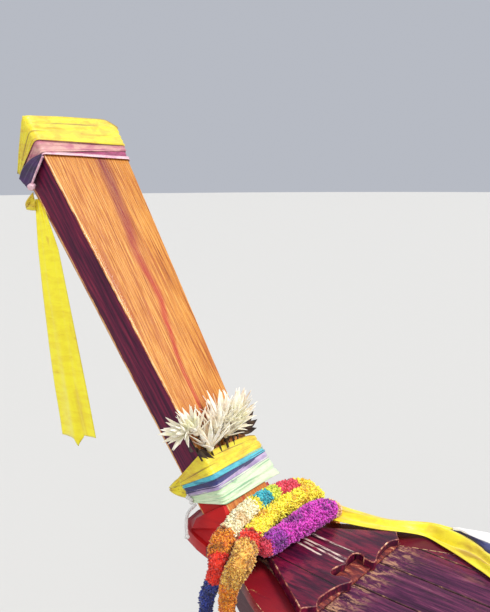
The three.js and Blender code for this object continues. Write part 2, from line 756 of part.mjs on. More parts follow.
// Engine, in its own line: X forward along the crankshaft, origin at the tilt
// pivot.
function engineFrame() {
  const rails = SIDES.map(({ sign }) => {
    const y = sign * FRAME_GAUGE;
    return box(FRAME_AFT, FRAME_FORE, y - BAR_HALF, y + BAR_HALF, -BAR_TALL, BAR_TALL);
  });
  const pinEnd = YOKE_INSIDE + YOKE_PLATE + 22;
  const pins = SIDES.map(({ sign }) => (
    rod(V(0, sign * FRAME_GAUGE, 0), V(0, sign * pinEnd, 0), PIN_RADIUS, 20)));
  const cross = [FRAME_AFT + 20, FRAME_FORE - 20].map((x) => (
    box(x - 20, x + 20, -FRAME_GAUGE + 10, FRAME_GAUGE - 10, -25, 25)));
  const saddle = box(FRAME_AFT, FRAME_AFT + 40, -50, 50, 0, CRANK_Z - TUBE_RADIUS - GAP);
  return fuse(...rails, ...pins, ...cross, saddle);
}

// Block with its feet, sump, flywheel housing and side cover.
function engineBlock() {
  const base = BAR_TALL + GAP;
  return fuse(
    box(BLOCK_AFT + 10, BLOCK_FORE - 10, -FRAME_GAUGE - 18, FRAME_GAUGE + 18, base, base + 16),
    box(BLOCK_AFT, BLOCK_FORE, -BLOCK_HALF, BLOCK_HALF, base, BLOCK_TOP),
    box(BLOCK_AFT + 30, BLOCK_FORE - 30, -95, 95, base - 60, base + 20),
    rod(V(20, 0, CRANK_Z), V(BLOCK_AFT + 10, 0, CRANK_Z), 150, 28),
    box(BLOCK_AFT + 40, BLOCK_FORE - 50, BLOCK_HALF - 10, BLOCK_HALF + 20, 110, 180),
  );
}

function cylinderHead() {
  const low = BLOCK_TOP + GAP;
  const caps = [190, 300, 410, 520].map((x) => rod(V(x, 0, low + 90), V(x, 0, low + 150), 26, 12));
  return fuse(
    box(BLOCK_AFT + 15, BLOCK_FORE - 15, -HEAD_HALF, HEAD_HALF, low, low + HEAD_TALL),
    box(BLOCK_AFT + 40, BLOCK_FORE - 40, -80, 80, low + HEAD_TALL - 10, low + 2 * HEAD_TALL),
    ...caps,
  );
}

// Crank pulley, fan pulley and the belt between them.
function pulley() {
  const face = BLOCK_FORE + GAP;
  const wheel = (from, to, z, radius, sides) => (
    rod(V(face + from, 0, z), V(face + to, 0, z), radius, sides));
  const fan = CRANK_Z + FAN_RISE;
  return fuse(
    wheel(0, 70, CRANK_Z, 34, 16),
    wheel(20, 55, CRANK_Z, 105, 28),
    wheel(0, 60, fan, 26, 16),
    wheel(22, 52, fan, 62, 24),
    box(face + 26, face + 48, -14, 14, CRANK_Z + 60, fan - 20),
  );
}

// Manifold, bent pipe, silencer and outlet on the starboard side.
function exhaust() {
  const y = -HEAD_HALF - GAP;
  const pipe = [[170, -30, 335], [60, -60, 350], [-40, -70, 430], [-60, -70, 620]];
  const place = ([x, out, z]) => V(x, y + out, z);
  return fuse(
    box(150, 580, y - 50, y, PORTS_LOW, PORTS_HIGH + 5),
    bar(pipe.map(place), 26, { sides: 10, steps: 9 }),
    rod(place([-60, -70, 600]), place([-60, -70, 820]), 48, 16),
    rod(place([-60, -70, 800]), place([-75, -70, 890]), 20, 10),
  );
}

function airCleaner() {
  const y = HEAD_HALF + GAP;
  const place = (out, z) => V(360, y + out, z);
  return fuse(
    box(170, 560, y, y + 45, PORTS_LOW, PORTS_HIGH),
    rod(place(30, PORTS_LOW + 15), place(75, 440), 28, 12),
    rod(place(75, 430), place(75, 540), 88, 20),
    rod(place(75, 530), place(75, 556), 60, 20),
  );
}

function alternator() {
  const y = BLOCK_HALF + 92;
  const z = 190;
  return fuse(
    rod(V(430, y, z), V(600, y, z), 62, 18),
    box(480, 540, BLOCK_HALF + 20 + GAP, y - 32, 120, 170),
    rod(V(600, y, z), V(640, y, z), 36, 16),
  );
}

function tiller() {
  const start = FRAME_FORE + GAP;
  const line = [V(start + 10, 0, 0), V(960, 0, -10), V(1200, 0, -130), V(1560, 0, -260)];
  return fuse(
    box(start, start + 24, -60, 60, -BAR_TALL, BAR_TALL),
    bar(line, 21, { sides: 10, steps: 9 }),
    rod(V(1450, 0, -220), V(1590, 0, -271), 26, 12),
  );
}

// Shaft tube with its flange, its end bearing and the fin under it.
function tail() {
  const hub = V(TAIL_END, 0, CRANK_Z);
  const outline = [
    { fore: 20, z: 0 }, { fore: 420, z: 0 }, { fore: 150, z: -215 }, { fore: 60, z: -230 },
    { fore: 20, z: -190 },
  ];
  const skeg = new THREE.Shape(outline.map(({ fore, z }) => new THREE.Vector2(TAIL_END + fore, z)));
  const fin = new THREE.ExtrudeGeometry(skeg, { depth: 10, bevelEnabled: false });
  fin.rotateX(Math.PI / 2).translate(0, 5, CRANK_Z - 20);
  return fuse(
    rod(V(20 - GAP, 0, CRANK_Z), V(-40, 0, CRANK_Z), 70, 20),
    rod(V(-30, 0, CRANK_Z), hub, TUBE_RADIUS, 14),
    rod(V(TAIL_END + 130, 0, CRANK_Z), hub, TUBE_RADIUS + 7, 14),
    fin,
  );
}

// A blade is a stack of thin slices, each turned by its own pitch.
const BLADE_HALF_THICK = 3;
const BLADE_ROWS = [
  { r: 20, half: 30, pitch: 55 },
  { r: 80, half: 52, pitch: 38 },
  { r: 130, half: 44, pitch: 28 },
  { r: PROP_RADIUS, half: 16, pitch: 24 },
];

function blade() {
  return loft(BLADE_ROWS.map(({ r, half, pitch }) => {
    const corners = [[1, -1], [-1, -1], [-1, 1], [1, 1]];
    return corners.map(([a, b]) => (
      V(a * half, b * BLADE_HALF_THICK, r).applyAxisAngle(V(0, 0, 1), degToRad(90 - pitch))));
  }));
}

function propeller() {
  const start = TAIL_END - 1;
  const hub = start - 40;
  const blades = Array.from({ length: BLADES }, (_, i) => (
    blade().rotateX((i / BLADES) * 2 * Math.PI).translate(hub - 35, 0, CRANK_Z)));
  return fuse(
    rod(V(start, 0, CRANK_Z), V(hub - 90, 0, CRANK_Z), 17, 14),
    rod(V(hub, 0, CRANK_Z), V(hub - 75, 0, CRANK_Z), 32, 18, 26),
    ...blades,
  );
}

// Soft pieces tied to the prow, in millimetres from the stem's foot.
const bowPoint = (x, y, z) => V(STEM_FOOT.x + x, y, STEM_FOOT.z + z);

// A cloth wound round the stem, its edges tilted between aft and fore.
function wrap({ lowAft, lowFore, highAft, highFore, thick, holeTop, fall }) {
  const ring = (aft, fore) => wholeRing([
    onStem(aft, -thick, stemHalf(aft) + thick),
    onStem(fore, STEM_DEPTH + thick, stemHalf(fore) + thick),
  ]);
  const outside = loft([ring(lowAft, lowFore), ring(highAft, highFore)]);
  return cut(outside, stemBlock(lowAft - 80, holeTop, GAP, fall));
}

// A flat band of cloth: half is half its width along a direction in plan.
function band(rows, thick) {
  return loft(rows.map(({ x, y, z, half, turn }) => {
    const along = V(Math.cos(degToRad(turn)), Math.sin(degToRad(turn)), 0);
    const across = V(-along.y, along.x, 0).multiplyScalar(thick / 2);
    const middle = bowPoint(x, y, z);
    return [[-half, -1], [half, -1], [half, 1], [-half, 1]].map(([a, b]) => (
      middle.clone().addScaledVector(along, a).addScaledVector(across, b)));
  }));
}

// A strip of cloth that lies on the rail and deck, by its two edges in plan.
function laidStrip(rows, thick) {
  return loft(rows.map(({ x, outY, inY }) => {
    const low = railTop(STEM_FOOT.x + x) - STEM_FOOT.z + 2 * GAP;
    return [
      bowPoint(x, outY, low), bowPoint(x, inY, low),
      bowPoint(x, inY, low + thick), bowPoint(x, outY, low + thick),
    ];
  }));
}

const WAIST = { lowAft: 125, lowFore: 168, highAft: 282, highFore: 255, thick: 14, holeTop: 340 };
const CAP = {
  lowAft: 1325, lowFore: 1255, highAft: 1463, highFore: 1326, thick: 13, holeTop: HEAD_TOP + 1.5 * GAP,
  fall: HEAD_FALL,
};
const SASH = [
  { x: 745, y: 193, z: 995.8, half: 30, turn: 10 },
  { x: 735, y: 165, z: 700, half: 42, turn: 8 },
  { x: 712, y: 140, z: 440, half: 52, turn: 4 },
  { x: 690, y: 112, z: 185, half: 60, turn: 0 },
];
const DECK_SASH = [
  { x: -130, outY: -262, inY: -212 },
  { x: -240, outY: -300, inY: -252 },
  { x: -310, outY: -340, inY: -292 },
  { x: -368, outY: -372, inY: -300 },
  { x: -453, outY: -402, inY: -290 },
  { x: -544, outY: -440, inY: -245 },
  { x: -640, outY: -440, inY: -215 },
  { x: -760, outY: -380, inY: -150 },
];
const UPPER = [
  [18, 296, -160], [12, 292, -85], [-25, 280, -12], [-75, 248, 14.5], [-80, 130, 35.3], [-35, 0, 74],
  [-27, -130, 74], [25, -245, 38], [60, -285, -30], [68, -296, -110],
];
const LOWER = [
  [-160, 72, 18.5], [-158, 0, 18.5], [-152, -110, 19], [-135, -190, 16], [-100, -265, -6],
  [-62, -318, -50], [-52, -332, -130],
];
const TAIL = [[-90, 287, -46], [-91, 291, -130], [-90, 289, -215]];
const CORD = [[171, 113, 77], [186, 133, 52], [180, 150, 22], [172, 156, -12]];

function garland(points, radius) {
  return bar(points.map(([x, y, z]) => bowPoint(x, y, z)), radius, { sides: 8, steps: 18 });
}

function flowerBunch() {
  const [deep, half, tall] = [68, 205, 82];
  const ball = new THREE.SphereGeometry(1, 14, 10);
  ball.scale(deep, half, tall).rotateY(STEM_RAKE);
  const { x, y, z } = onStem(366, -deep - GAP, 15);
  return welded(ball.translate(x, y, z));
}

// The whole boat, put together.
add('keel', keel(), M.hullPaint);
add('stem_post', stem(), M.varnish);
STRAKES.forEach((row, order) => HALVES.forEach((half) => SIDES.forEach(({ label, sign }) => {
  add(`${row.name}_${half.end}_${label}`, strake(row, order, half, sign), M.hullPaint);
})));
add('transom', transom(), M.hullPaint);
SIDES.forEach(({ label, sign }) => add(`rail_${label}`, rail(sign), M.redPaint));
SIDES.forEach(({ label, sign }) => add(`cheek_${label}`, cheek(sign), M.redPaint));
add('bow_plate', bowPlate(), M.deckWood);
add('foredeck', foredeck(), M.deckWood);
const foreBoard = { x: FOREDECK_AFT + 12, top: railTop(FOREDECK_AFT + 12) - RAIL_THICK - 2 * GAP };
const sternBoard = {
  x: STERN_DECK_FORE - BULKHEAD - 4, top: STERN_DECK_TOP - STERN_DECK_THICK - GAP,
};
add('fore_bulkhead', bulkhead(foreBoard), M.innerWood);
add('stern_bulkhead', bulkhead(sternBoard), M.innerWood);
add('floor_timbers', floorTimbers(), M.innerWood);
SIDE_GROUPS.forEach((group) => SIDES.forEach(({ label, sign }) => {
  add(`side_timbers_${group.label}_${label}`, sideTimbers(group, sign), M.innerWood);
}));
add('floorboards', floor(), M.innerWood);
SEATS.forEach((x, i) => add(`seat_${i + 1}`, seat(x), M.innerWood));

add('canopy_frame', canopyFrame(), M.framePaint);
add('canopy_sheet', canopySheet(), M.tarpaulin);

add('stern_deck', sternDeck(), M.innerWood);
add('engine_post', enginePost(), M.innerWood);
add('swivel_yoke', yoke(), M.iron);
const ON_STERN = STERN_DECK_TOP + GAP;
add('fuel_tank', box(-4080, -3870, 330, 600, ON_STERN, ON_STERN + 300), M.plastic);
add('battery', box(-4060, -3860, -560, -300, ON_STERN, ON_STERN + 190), M.plastic);

const engine = new THREE.Group();
engine.position.set(PIVOT_X, 0, TILT_HEIGHT);
engine.rotation.y = -TILT_REST;
boat.add(engine);
add('engine_frame', engineFrame(), M.iron, engine);
add('engine_block', engineBlock(), M.enginePaint, engine);
add('cylinder_head', cylinderHead(), M.enginePaint, engine);
add('belt_pulleys', pulley(), M.steel, engine);
add('exhaust', exhaust(), M.iron, engine);
add('air_cleaner', airCleaner(), M.plastic, engine);
add('alternator', alternator(), M.steel, engine);
add('tiller', tiller(), M.steel, engine);
add('shaft_tube', tail(), M.steel, engine);
add('propeller', propeller(), M.bronze, engine);

add('top_cloth', wrap(CAP), M.yellowCloth);
add('hanging_sash', band(SASH, 10), M.yellowCloth);
add('waist_cloth', wrap(WAIST), M.bandCloth);
add('flower_bunch', flowerBunch(), M.flowers);
add('garland_upper', garland(UPPER, 50), M.garlandGold);
add('garland_lower', garland(LOWER, 33), M.garlandPink);
add('garland_tail', garland(TAIL, 28), M.garlandGold);
add('deck_sash', laidStrip(DECK_SASH, 10), M.yellowCloth);
add('white_cord', garland(CORD, 5), M.cord);

export default boat;
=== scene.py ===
# A wooden longtail boat afloat, its prow dressed with cloths, flowers and garlands.
# Metres, X forward, Y to port, Z up from the waterline amidships.
import math
import random

import bpy
from mathutils import Matrix, Vector, noise


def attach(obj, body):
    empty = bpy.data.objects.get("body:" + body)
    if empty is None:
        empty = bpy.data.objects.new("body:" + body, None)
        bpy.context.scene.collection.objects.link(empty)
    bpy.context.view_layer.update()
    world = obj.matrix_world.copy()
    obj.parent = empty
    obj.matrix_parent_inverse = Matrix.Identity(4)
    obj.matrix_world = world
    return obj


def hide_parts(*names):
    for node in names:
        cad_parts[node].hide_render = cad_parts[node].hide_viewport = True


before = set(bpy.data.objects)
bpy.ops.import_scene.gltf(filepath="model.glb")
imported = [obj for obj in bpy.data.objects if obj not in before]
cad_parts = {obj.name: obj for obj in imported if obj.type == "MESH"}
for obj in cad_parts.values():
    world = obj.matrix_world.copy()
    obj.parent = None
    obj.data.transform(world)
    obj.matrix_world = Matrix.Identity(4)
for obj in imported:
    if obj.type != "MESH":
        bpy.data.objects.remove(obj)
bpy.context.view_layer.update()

# Camera: port and aft of the stem's foot, looking forward across the prow and
# a little down, as someone standing in the bow would see it.
STEM_FOOT = Vector((4.6, 0, 1.2))
STEM_RAKE = math.radians(32)
CAMERA_AT = STEM_FOOT + Vector((-1.3846, 2.0296, 1.1104))
HEADING = math.radians(54.45)
LOOK_DOWN = math.radians(9.76)
ROLL = math.radians(-0.23)
FOCAL_PIXELS = 858
PICTURE_TALL = 612
SENSOR = 36

view_line = Vector((math.cos(HEADING) * math.cos(LOOK_DOWN),
                    -math.sin(HEADING) * math.cos(LOOK_DOWN), -math.sin(LOOK_DOWN)))
level_right = Vector((-math.sin(HEADING), -math.cos(HEADING), 0))
level_up = level_right.cross(view_line)
right = level_right * math.cos(ROLL) + level_up * math.sin(ROLL)
up = level_up * math.cos(ROLL) - level_right * math.sin(ROLL)
bpy.ops.object.camera_add()
camera = bpy.context.object
axes = Matrix((right, up, -view_line)).transposed().to_4x4()
camera.matrix_world = Matrix.Translation(CAMERA_AT) @ axes
camera.data.sensor_width = SENSOR
camera.data.lens = SENSOR * FOCAL_PIXELS / PICTURE_TALL
camera.data.clip_end = 300
bpy.context.scene.camera = camera


# White cord: the knotted-off end of the cord that ties the waist cloth, limp
# cotton, hanging down the port cheek to a small knot.
CORD_RADIUS = 0.005
CORD_KNOT = 0.0085
CORD_POINTS = [(0.171, 0.113, 0.077), (0.186, 0.133, 0.052), (0.180, 0.150, 0.022), (0.172, 0.156, -0.012)]


def through(points, count, closed=False):
    """Evenly counted points of a smooth line through the given ones."""
    ends = len(points) if closed else len(points) - 1

    def pick(i):
        return Vector(points[i % len(points)] if closed else points[min(max(i, 0), len(points) - 1)])

    line = []
    for k in range(count if closed else count + 1):
        place = k / count * ends
        i = min(int(place), ends - 1)
        f = place - i
        before, a, b, after = pick(i - 1), pick(i), pick(i + 1), pick(i + 2)
        line.append(a + 0.5 * f * (b - before + f * (2 * before - 5 * a + 4 * b - after
                                                     + f * (3 * (a - b) + after - before))))
    return line


def tint(code):
    """The shader's colour for a hex code."""
    parts = [int(code[i:i + 2], 16) / 255 for i in (1, 3, 5)]
    return (*(v / 12.92 if v <= 0.04045 else ((v + 0.055) / 1.055) ** 2.4 for v in parts), 1)


class Finish:
    """One material, built up from named steps."""

    def __init__(self, name, rough, metal=0.0, coat=0.0, sheen=0.0, shine=0.5):
        self.made = bpy.data.materials.new(name)
        self.made.use_nodes = True
        self.tree = self.made.node_tree
        self.shader = self.tree.nodes["Principled BSDF"]
        facts = {"Roughness": rough, "Metallic": metal, "Coat Weight": coat, "Sheen Weight": sheen,
                 "Specular IOR Level": shine}
        for socket, value in facts.items():
            self.shader.inputs[socket].default_value = value

    def step(self, kind, inputs, out=0, **settings):
        made = self.tree.nodes.new("ShaderNode" + kind)
        for key, value in settings.items():
            setattr(made, key, value)
        for socket, value in inputs.items():
            if isinstance(value, bpy.types.NodeSocket):
                self.tree.links.new(value, made.inputs[socket])
            else:
                made.inputs[socket].default_value = value
        return made.outputs[out]

    def place(self, stretch=(1, 1, 1), turn=(0, 0, 0), shift=(0, 0, 0)):
        at = self.step("TexCoord", {}, "Object")
        return self.step("Mapping", {"Vector": at, "Scale": stretch, "Rotation": turn, "Location": shift})

    def stretch(self, at, scale):
        return self.step("Mapping", {"Vector": at, "Scale": scale})

    def parts(self, at):
        """The three sockets of a place: X, Y and Z."""
        made = self.tree.nodes.new("ShaderNodeSeparateXYZ")
        self.tree.links.new(at, made.inputs[0])
        return made.outputs

    def noise(self, at, scale, detail=4, rough=0.6, twist=0):
        return self.step("TexNoise", {"Vector": at, "Scale": scale, "Detail": detail,
                                      "Roughness": rough, "Distortion": twist})

    def sum(self, kind, a, b=0.0, c=0.0):
        return self.step("Math", {0: a, 1: b, 2: c}, operation=kind)

    def fade(self, value, low, high, start=0.0, end=1.0):
        """A smooth change from start to end as value goes from low to high."""
        return self.step("MapRange", {"Value": value, "From Min": low, "From Max": high, "To Min": start,
                                      "To Max": end}, interpolation_type="SMOOTHSTEP")

    def mix(self, factor, a, b, blend="MIX"):
        sockets = {"Factor": factor, 6: tint(a) if isinstance(a, str) else a,
                   7: tint(b) if isinstance(b, str) else b}
        return self.step("Mix", sockets, 2, data_type="RGBA", blend_type=blend)

    def ramp(self, value, *stops):
        made = self.tree.nodes.new("ShaderNodeValToRGB")
        while len(made.color_ramp.elements) < len(stops):
            made.color_ramp.elements.new(0.5)
        for element, (at, code) in zip(made.color_ramp.elements, stops):
            element.position = at
            element.color = tint(code)
        self.tree.links.new(value, made.inputs[0])
        return made.outputs[0]

    def colour(self, value):
        self.feed("Base Color", tint(value) if isinstance(value, str) else value)

    def feed(self, socket, value):
        if isinstance(value, bpy.types.NodeSocket):
            self.tree.links.new(value, self.shader.inputs[socket])
        else:
            self.shader.inputs[socket].default_value = value

    def relief(self, height, depth):
        """Bumps of that depth in metres, over any made before."""
        bump = self.tree.nodes.new("ShaderNodeBump")
        bump.inputs["Distance"].default_value = depth
        self.tree.links.new(height, bump.inputs["Height"])
        if self.shader.inputs["Normal"].links:
            self.tree.links.new(self.shader.inputs["Normal"].links[0].from_socket, bump.inputs["Normal"])
        self.tree.links.new(bump.outputs[0], self.shader.inputs["Normal"])


def activate(piece):
    if bpy.context.mode != "OBJECT":
        bpy.ops.object.mode_set(mode="OBJECT")
    bpy.ops.object.select_all(action="DESELECT")
    piece.select_set(True)
    bpy.context.view_layer.objects.active = piece


def linked(name, data):
    """A new object of that data, in the scene and alone selected."""
    piece = bpy.data.objects.new(name, data)
    bpy.context.collection.objects.link(piece)
    activate(piece)
    return piece


def settle(piece, name, body, slot, *finishes, replaces=()):
    """Names a finished piece, gives it its finishes and joins it to the frame."""
    activate(piece)
    bpy.ops.object.transform_apply(location=True, rotation=True, scale=True)
    piece.name = name
    piece.data.name = name
    kept = [face.material_index for face in piece.data.polygons]
    piece.data.materials.clear()
    for finish in finishes:
        piece.data.materials.append(finish.made)
    for face, index in zip(piece.data.polygons, kept):
        face.material_index = min(index, len(finishes) - 1)
    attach(piece, body)
    if replaces:
        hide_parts(*replaces)
    return piece


def tube(points, radius, closed=False, taper=None, sides=4):
    """A round bar of mesh along a line of points."""
    shape = bpy.data.curves.new("tube", "CURVE")
    shape.dimensions = "3D"
    shape.bevel_depth = radius
    shape.bevel_resolution = sides
    shape.use_fill_caps = True
    run = shape.splines.new("POLY")
    run.points.add(len(points) - 1)
    run.use_cyclic_u = closed
    for k, (spot, point) in enumerate(zip(run.points, points)):
        spot.co = (*point, 1)
        spot.radius = taper(k / (len(points) - 1)) if taper else 1
    linked("tube", shape)
    bpy.ops.object.convert(target="MESH")
    bpy.ops.object.shade_smooth()
    return bpy.context.object


cotton = Finish("white cotton", 0.9, sheen=0.3)
twisted = cotton.step("TexWave", {"Vector": cotton.place(turn=(0.6, 0.5, 0)), "Scale": 260.0,
                                  "Distortion": 2.0})
cotton.colour(cotton.mix(twisted, "#f1ebe2", "#fffefa"))
cotton.relief(twisted, 0.0008)

cord_line = [STEM_FOOT + p for p in through(CORD_POINTS, 24)]
cord = settle(tube(cord_line, CORD_RADIUS), "white_cord_line", "hull", "cord", cotton,
              replaces=["white_cord"])
bpy.ops.mesh.primitive_uv_sphere_add(segments=16, ring_count=10, radius=CORD_KNOT, location=cord_line[-1])
bpy.ops.transform.resize(value=(1, 1, 0.8))
cord_knot = settle(bpy.context.object, "white_cord_knot", "hull", "cord", cotton)


# Hull: keel, three carvel planks a side and the transom, hardwood painted dark
# maroon, with a pale band of bottom paint from the waterline down.
SEAM_ROUND = 0.006
SLOTS = [bpy.data.materials.new(f"slot {k}") for k in range(4)]
SMOOTH_TO = math.radians(35)
PALE_TO = 0.1


def slotted(piece):
    """Gives a piece the shared empty slots, with all its faces on the first."""
    piece.data.materials.clear()
    for slot in SLOTS:
        piece.data.materials.append(slot)
    for face in piece.data.polygons:
        face.material_index = 0
    return piece


def like(node):
    """A copy of a CAD node with shared corners merged and flat faces whole."""
    piece = slotted(linked(node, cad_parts[node].data.copy()))
    if piece.data.has_custom_normals:
        bpy.ops.mesh.customdata_custom_splitnormals_clear()
    bpy.ops.object.mode_set(mode="EDIT")
    bpy.ops.mesh.select_all(action="SELECT")
    bpy.ops.mesh.remove_doubles(threshold=1e-5)
    bpy.ops.mesh.dissolve_limited(angle_limit=math.radians(0.5))
    bpy.ops.object.mode_set(mode="OBJECT")
    return piece


def modify(piece, kind, **settings):
    activate(piece)
    made = piece.modifiers.new(kind, kind)
    for key, value in settings.items():
        setattr(made, key, value)
    bpy.ops.object.modifier_apply(modifier=made.name)
    return piece


def eased(piece, width, segments=2, angle=30, worn=-1):
    """Rounds the edges; the rounded faces take material slot worn."""
    modify(piece, "BEVEL", width=width, segments=segments, limit_method="ANGLE",
           angle_limit=math.radians(angle), material=worn, use_clamp_overlap=True, harden_normals=False)
    bpy.ops.object.shade_smooth_by_angle(angle=SMOOTH_TO)
    return piece


def dressed(node, name, slot, *finishes, ease=0.005, segments=2, angle=30, body="hull"):
    """The CAD node's piece with its edges rounded and worn, settled."""
    piece = eased(like(node), ease, segments, angle, worn=1)
    return settle(piece, name, body, slot, *finishes, replaces=[node])


def painted(name, base, deep, bare, chips, rough=0.45, along=(0.5, 3, 3), band=None):
    """Brushed boat paint: mottled, streaked along the grain, chipped to wood."""
    finish = Finish(name, rough, shine=0.3)
    at = finish.place(along)
    grain = finish.noise(at, 9, 6, 0.7, 0.4)
    cloud = finish.noise(finish.place(), 2.3, 3)
    colour = finish.mix(finish.fade(cloud, 0.35, 0.65), base, deep)
    colour = finish.mix(finish.fade(grain, 0.5, 0.72, 0, 0.5), colour, deep)
    if band:
        colour = band(finish, colour)
    spots = finish.noise(finish.place((0.6, 2, 2)), 26, 8, 0.75)
    chip = finish.fade(spots, chips, chips + 0.03)
    finish.colour(finish.mix(chip, colour, bare))
    finish.feed("Roughness", finish.fade(finish.sum("ADD", chip, grain), 0.3, 1.6, rough, rough + 0.35))
    finish.relief(grain, 0.0012)
    finish.relief(finish.fade(chip, 0, 1, 1, 0), 0.0006)
    return finish


def boot_band(finish, colour):
    """Pale bottom paint up to a line above the water, slimy near the water."""
    rise = finish.parts(finish.place())["Z"]
    edge = finish.sum("ADD", rise, finish.sum("MULTIPLY", finish.noise(finish.place(), 6, 4), 0.012))
    pale = finish.mix(finish.noise(finish.place((0.6, 2, 2)), 8, 6), "#d9b9ad", "#a98f86")
    slime = finish.mix(finish.fade(edge, -0.01, 0.03), "#5e6a4a", pale)
    return finish.mix(finish.fade(edge, PALE_TO - 0.005, PALE_TO), slime, colour)


hull_paint = painted("hull paint", "#5c1422", "#431027", "#a8693f", 0.66, band=boot_band)
hull_edge = painted("hull paint worn", "#6e2a2c", "#54162a", "#b77a4c", 0.56, band=boot_band)
hull_inside = painted("hull inside paint", "#7d4a36", "#5c3328", "#b98a5c", 0.6, rough=0.6)
planks = [f"{row}_{end}_{side}" for row in ("garboard", "bilge_plank", "topside_plank")
          for end in ("aft", "fore") for side in ("port", "starboard")]
hull_planks = []
for node in ("keel", "transom", *planks):
    plank = eased(like(node), SEAM_ROUND, worn=1)
    for face in plank.data.polygons:
        outward = face.normal.y * math.copysign(1, face.center.y) - face.normal.z
        if node != "keel" and (face.normal.x > 0.5 if node == "transom" else outward < 0):
            face.material_index = 2
    hull_planks.append(plank)
    settle(plank, node + "_painted", "hull", "hull_paint", hull_paint, hull_edge, hull_inside,
           replaces=[node])


# Stem post: a wide board of varnished hardwood that leans forward over the
# bow. Its aft face is bare and golden with a painted highlight along its port arris, its sides painted, its
# arrises worn.
STEM_TOP = 1.45
STEM_DEEP = 0.115
STEM_DEEP_TOP = 0.123
HEAD_ROUND = 0.034
STEM_HALF_FOOT = 0.097
STEM_HALF_TOP = 0.195
STEM_HALF_LOW = 0.045
STEM_LOW = -1.35
STEM_UP = Vector((math.sin(STEM_RAKE), 0, math.cos(STEM_RAKE)))
STEM_FORE = Vector((math.cos(STEM_RAKE), 0, -math.sin(STEM_RAKE)))
# A red streak in the wood: distance to port at heights up the stem.
STREAK = [(0.55, 0.014), (0.70, -0.012), (0.80, -0.036), (0.95, -0.026), (1.09, -0.046), (1.23, -0.062),
          (1.33, -0.066)]


def on_stem(s, n, y):
    return STEM_FOOT + STEM_UP * s + STEM_FORE * n + Vector((0, y, 0))


def stem_half(s):
    if s < 0:
        return STEM_HALF_FOOT + (STEM_HALF_LOW - STEM_HALF_FOOT) * s / STEM_LOW
    return STEM_HALF_FOOT + (STEM_HALF_TOP - STEM_HALF_FOOT) * s / STEM_TOP


def stem_deep(s):
    return STEM_DEEP + (STEM_DEEP_TOP - STEM_DEEP) * max(0, s) / STEM_TOP


def stem_place(finish):
    """Coordinates from the stem's foot: forward, to port, up the stem."""
    turn = Matrix.Rotation(-STEM_RAKE, 3, "Y")
    return finish.place(turn=(0, -STEM_RAKE, 0), shift=-(turn @ STEM_FOOT))


varnish = Finish("varnished stem wood", 0.5, coat=0.06, shine=0.3)
stem_at = stem_place(varnish)
_, to_port, up_stem = varnish.parts(stem_at)
half_wide = varnish.fade(up_stem, 0, STEM_TOP, STEM_HALF_FOOT, STEM_HALF_TOP)
half_wide.node.interpolation_type = "LINEAR"
share = varnish.sum("DIVIDE", to_port, half_wide)
fibre = varnish.noise(varnish.stretch(stem_at, (9, 34, 1.1)), 5.5, 9, 0.66, 0.35)
figure = varnish.noise(varnish.stretch(stem_at, (2, 11, 0.8)), 2.1, 5, 0.6, 0.9)
lines = varnish.noise(varnish.stretch(stem_at, (20, 150, 2.2)), 3, 4, 0.6)
wood = varnish.ramp(fibre, (0.3, "#74350f"), (0.42, "#ad5f1e"), (0.54, "#d08a36"), (0.7, "#e6ae5a"))
wood = varnish.mix(varnish.fade(figure, 0.54, 0.72, 0, 0.6), wood, "#a8501c")
wood = varnish.mix(varnish.fade(lines, 0.56, 0.66, 0, 0.55), wood, "#5f2410")
drift = varnish.sum("MULTIPLY", varnish.noise(varnish.stretch(stem_at, (1, 1, 1)), 9, 4), 0.02)
line_y = STREAK[0][1]
for (low, low_y), (high, high_y) in zip(STREAK, STREAK[1:]):
    line_y = varnish.sum("ADD", line_y, varnish.fade(up_stem, low, high, 0, high_y - low_y))
aside = varnish.sum("ABSOLUTE", varnish.sum("SUBTRACT", varnish.sum("SUBTRACT", to_port, drift), line_y))
width = varnish.fade(up_stem, 0.4, 1.35, 0.010, 0.034)
streak = varnish.sum("MULTIPLY", varnish.fade(varnish.sum("DIVIDE", aside, width), 0.1, 1.3, 0.9, 0),
                     varnish.fade(lines, 0.35, 0.56, 0.45, 1))
streak_red = varnish.mix(varnish.fade(up_stem, 0.7, 1.25), "#b01f14", "#74102c")
wood = varnish.mix(streak, wood, streak_red)
# Painted highlight: a pale golden band along the aft face's port arris.
rim = varnish.fade(varnish.sum("ADD", share, varnish.sum("MULTIPLY", fibre, 0.05)), 0.97, 1.0, 0, 0.8)
wood = varnish.mix(rim, wood, "#f6cf8e")
low = varnish.fade(up_stem, 0.02, 0.4, 0.45, 0)
wood = varnish.mix(low, wood, "#c4561c")
varnish.colour(wood)
varnish.feed("Roughness", varnish.fade(fibre, 0.3, 0.7, 0.5, 0.36))
varnish.relief(fibre, 0.0016)
varnish.relief(lines, 0.0009)

stem_paint = Finish("stem side paint", 0.5, shine=0.25)
stem_at = stem_place(stem_paint)
brushed = stem_paint.noise(stem_paint.stretch(stem_at, (30, 12, 1.4)), 3, 7, 0.65, 0.3)
patches = stem_paint.noise(stem_paint.stretch(stem_at, (3, 3, 1)), 2.4, 4)
coat = stem_paint.ramp(brushed, (0.3, "#25061f"), (0.46, "#4a0f30"), (0.6, "#6d1638"), (0.75, "#8e2e44"))
coat = stem_paint.mix(stem_paint.fade(patches, 0.55, 0.7, 0, 0.6), coat, "#6e1a2c")
height = stem_paint.parts(stem_at)["Z"]
foot_red = stem_paint.mix(brushed, "#8f0d10", "#c21d12")
coat = stem_paint.mix(stem_paint.fade(height, 0.19, 0.24, 1, 0), coat, foot_red)
stem_paint.colour(coat)
stem_paint.relief(brushed, 0.0015)

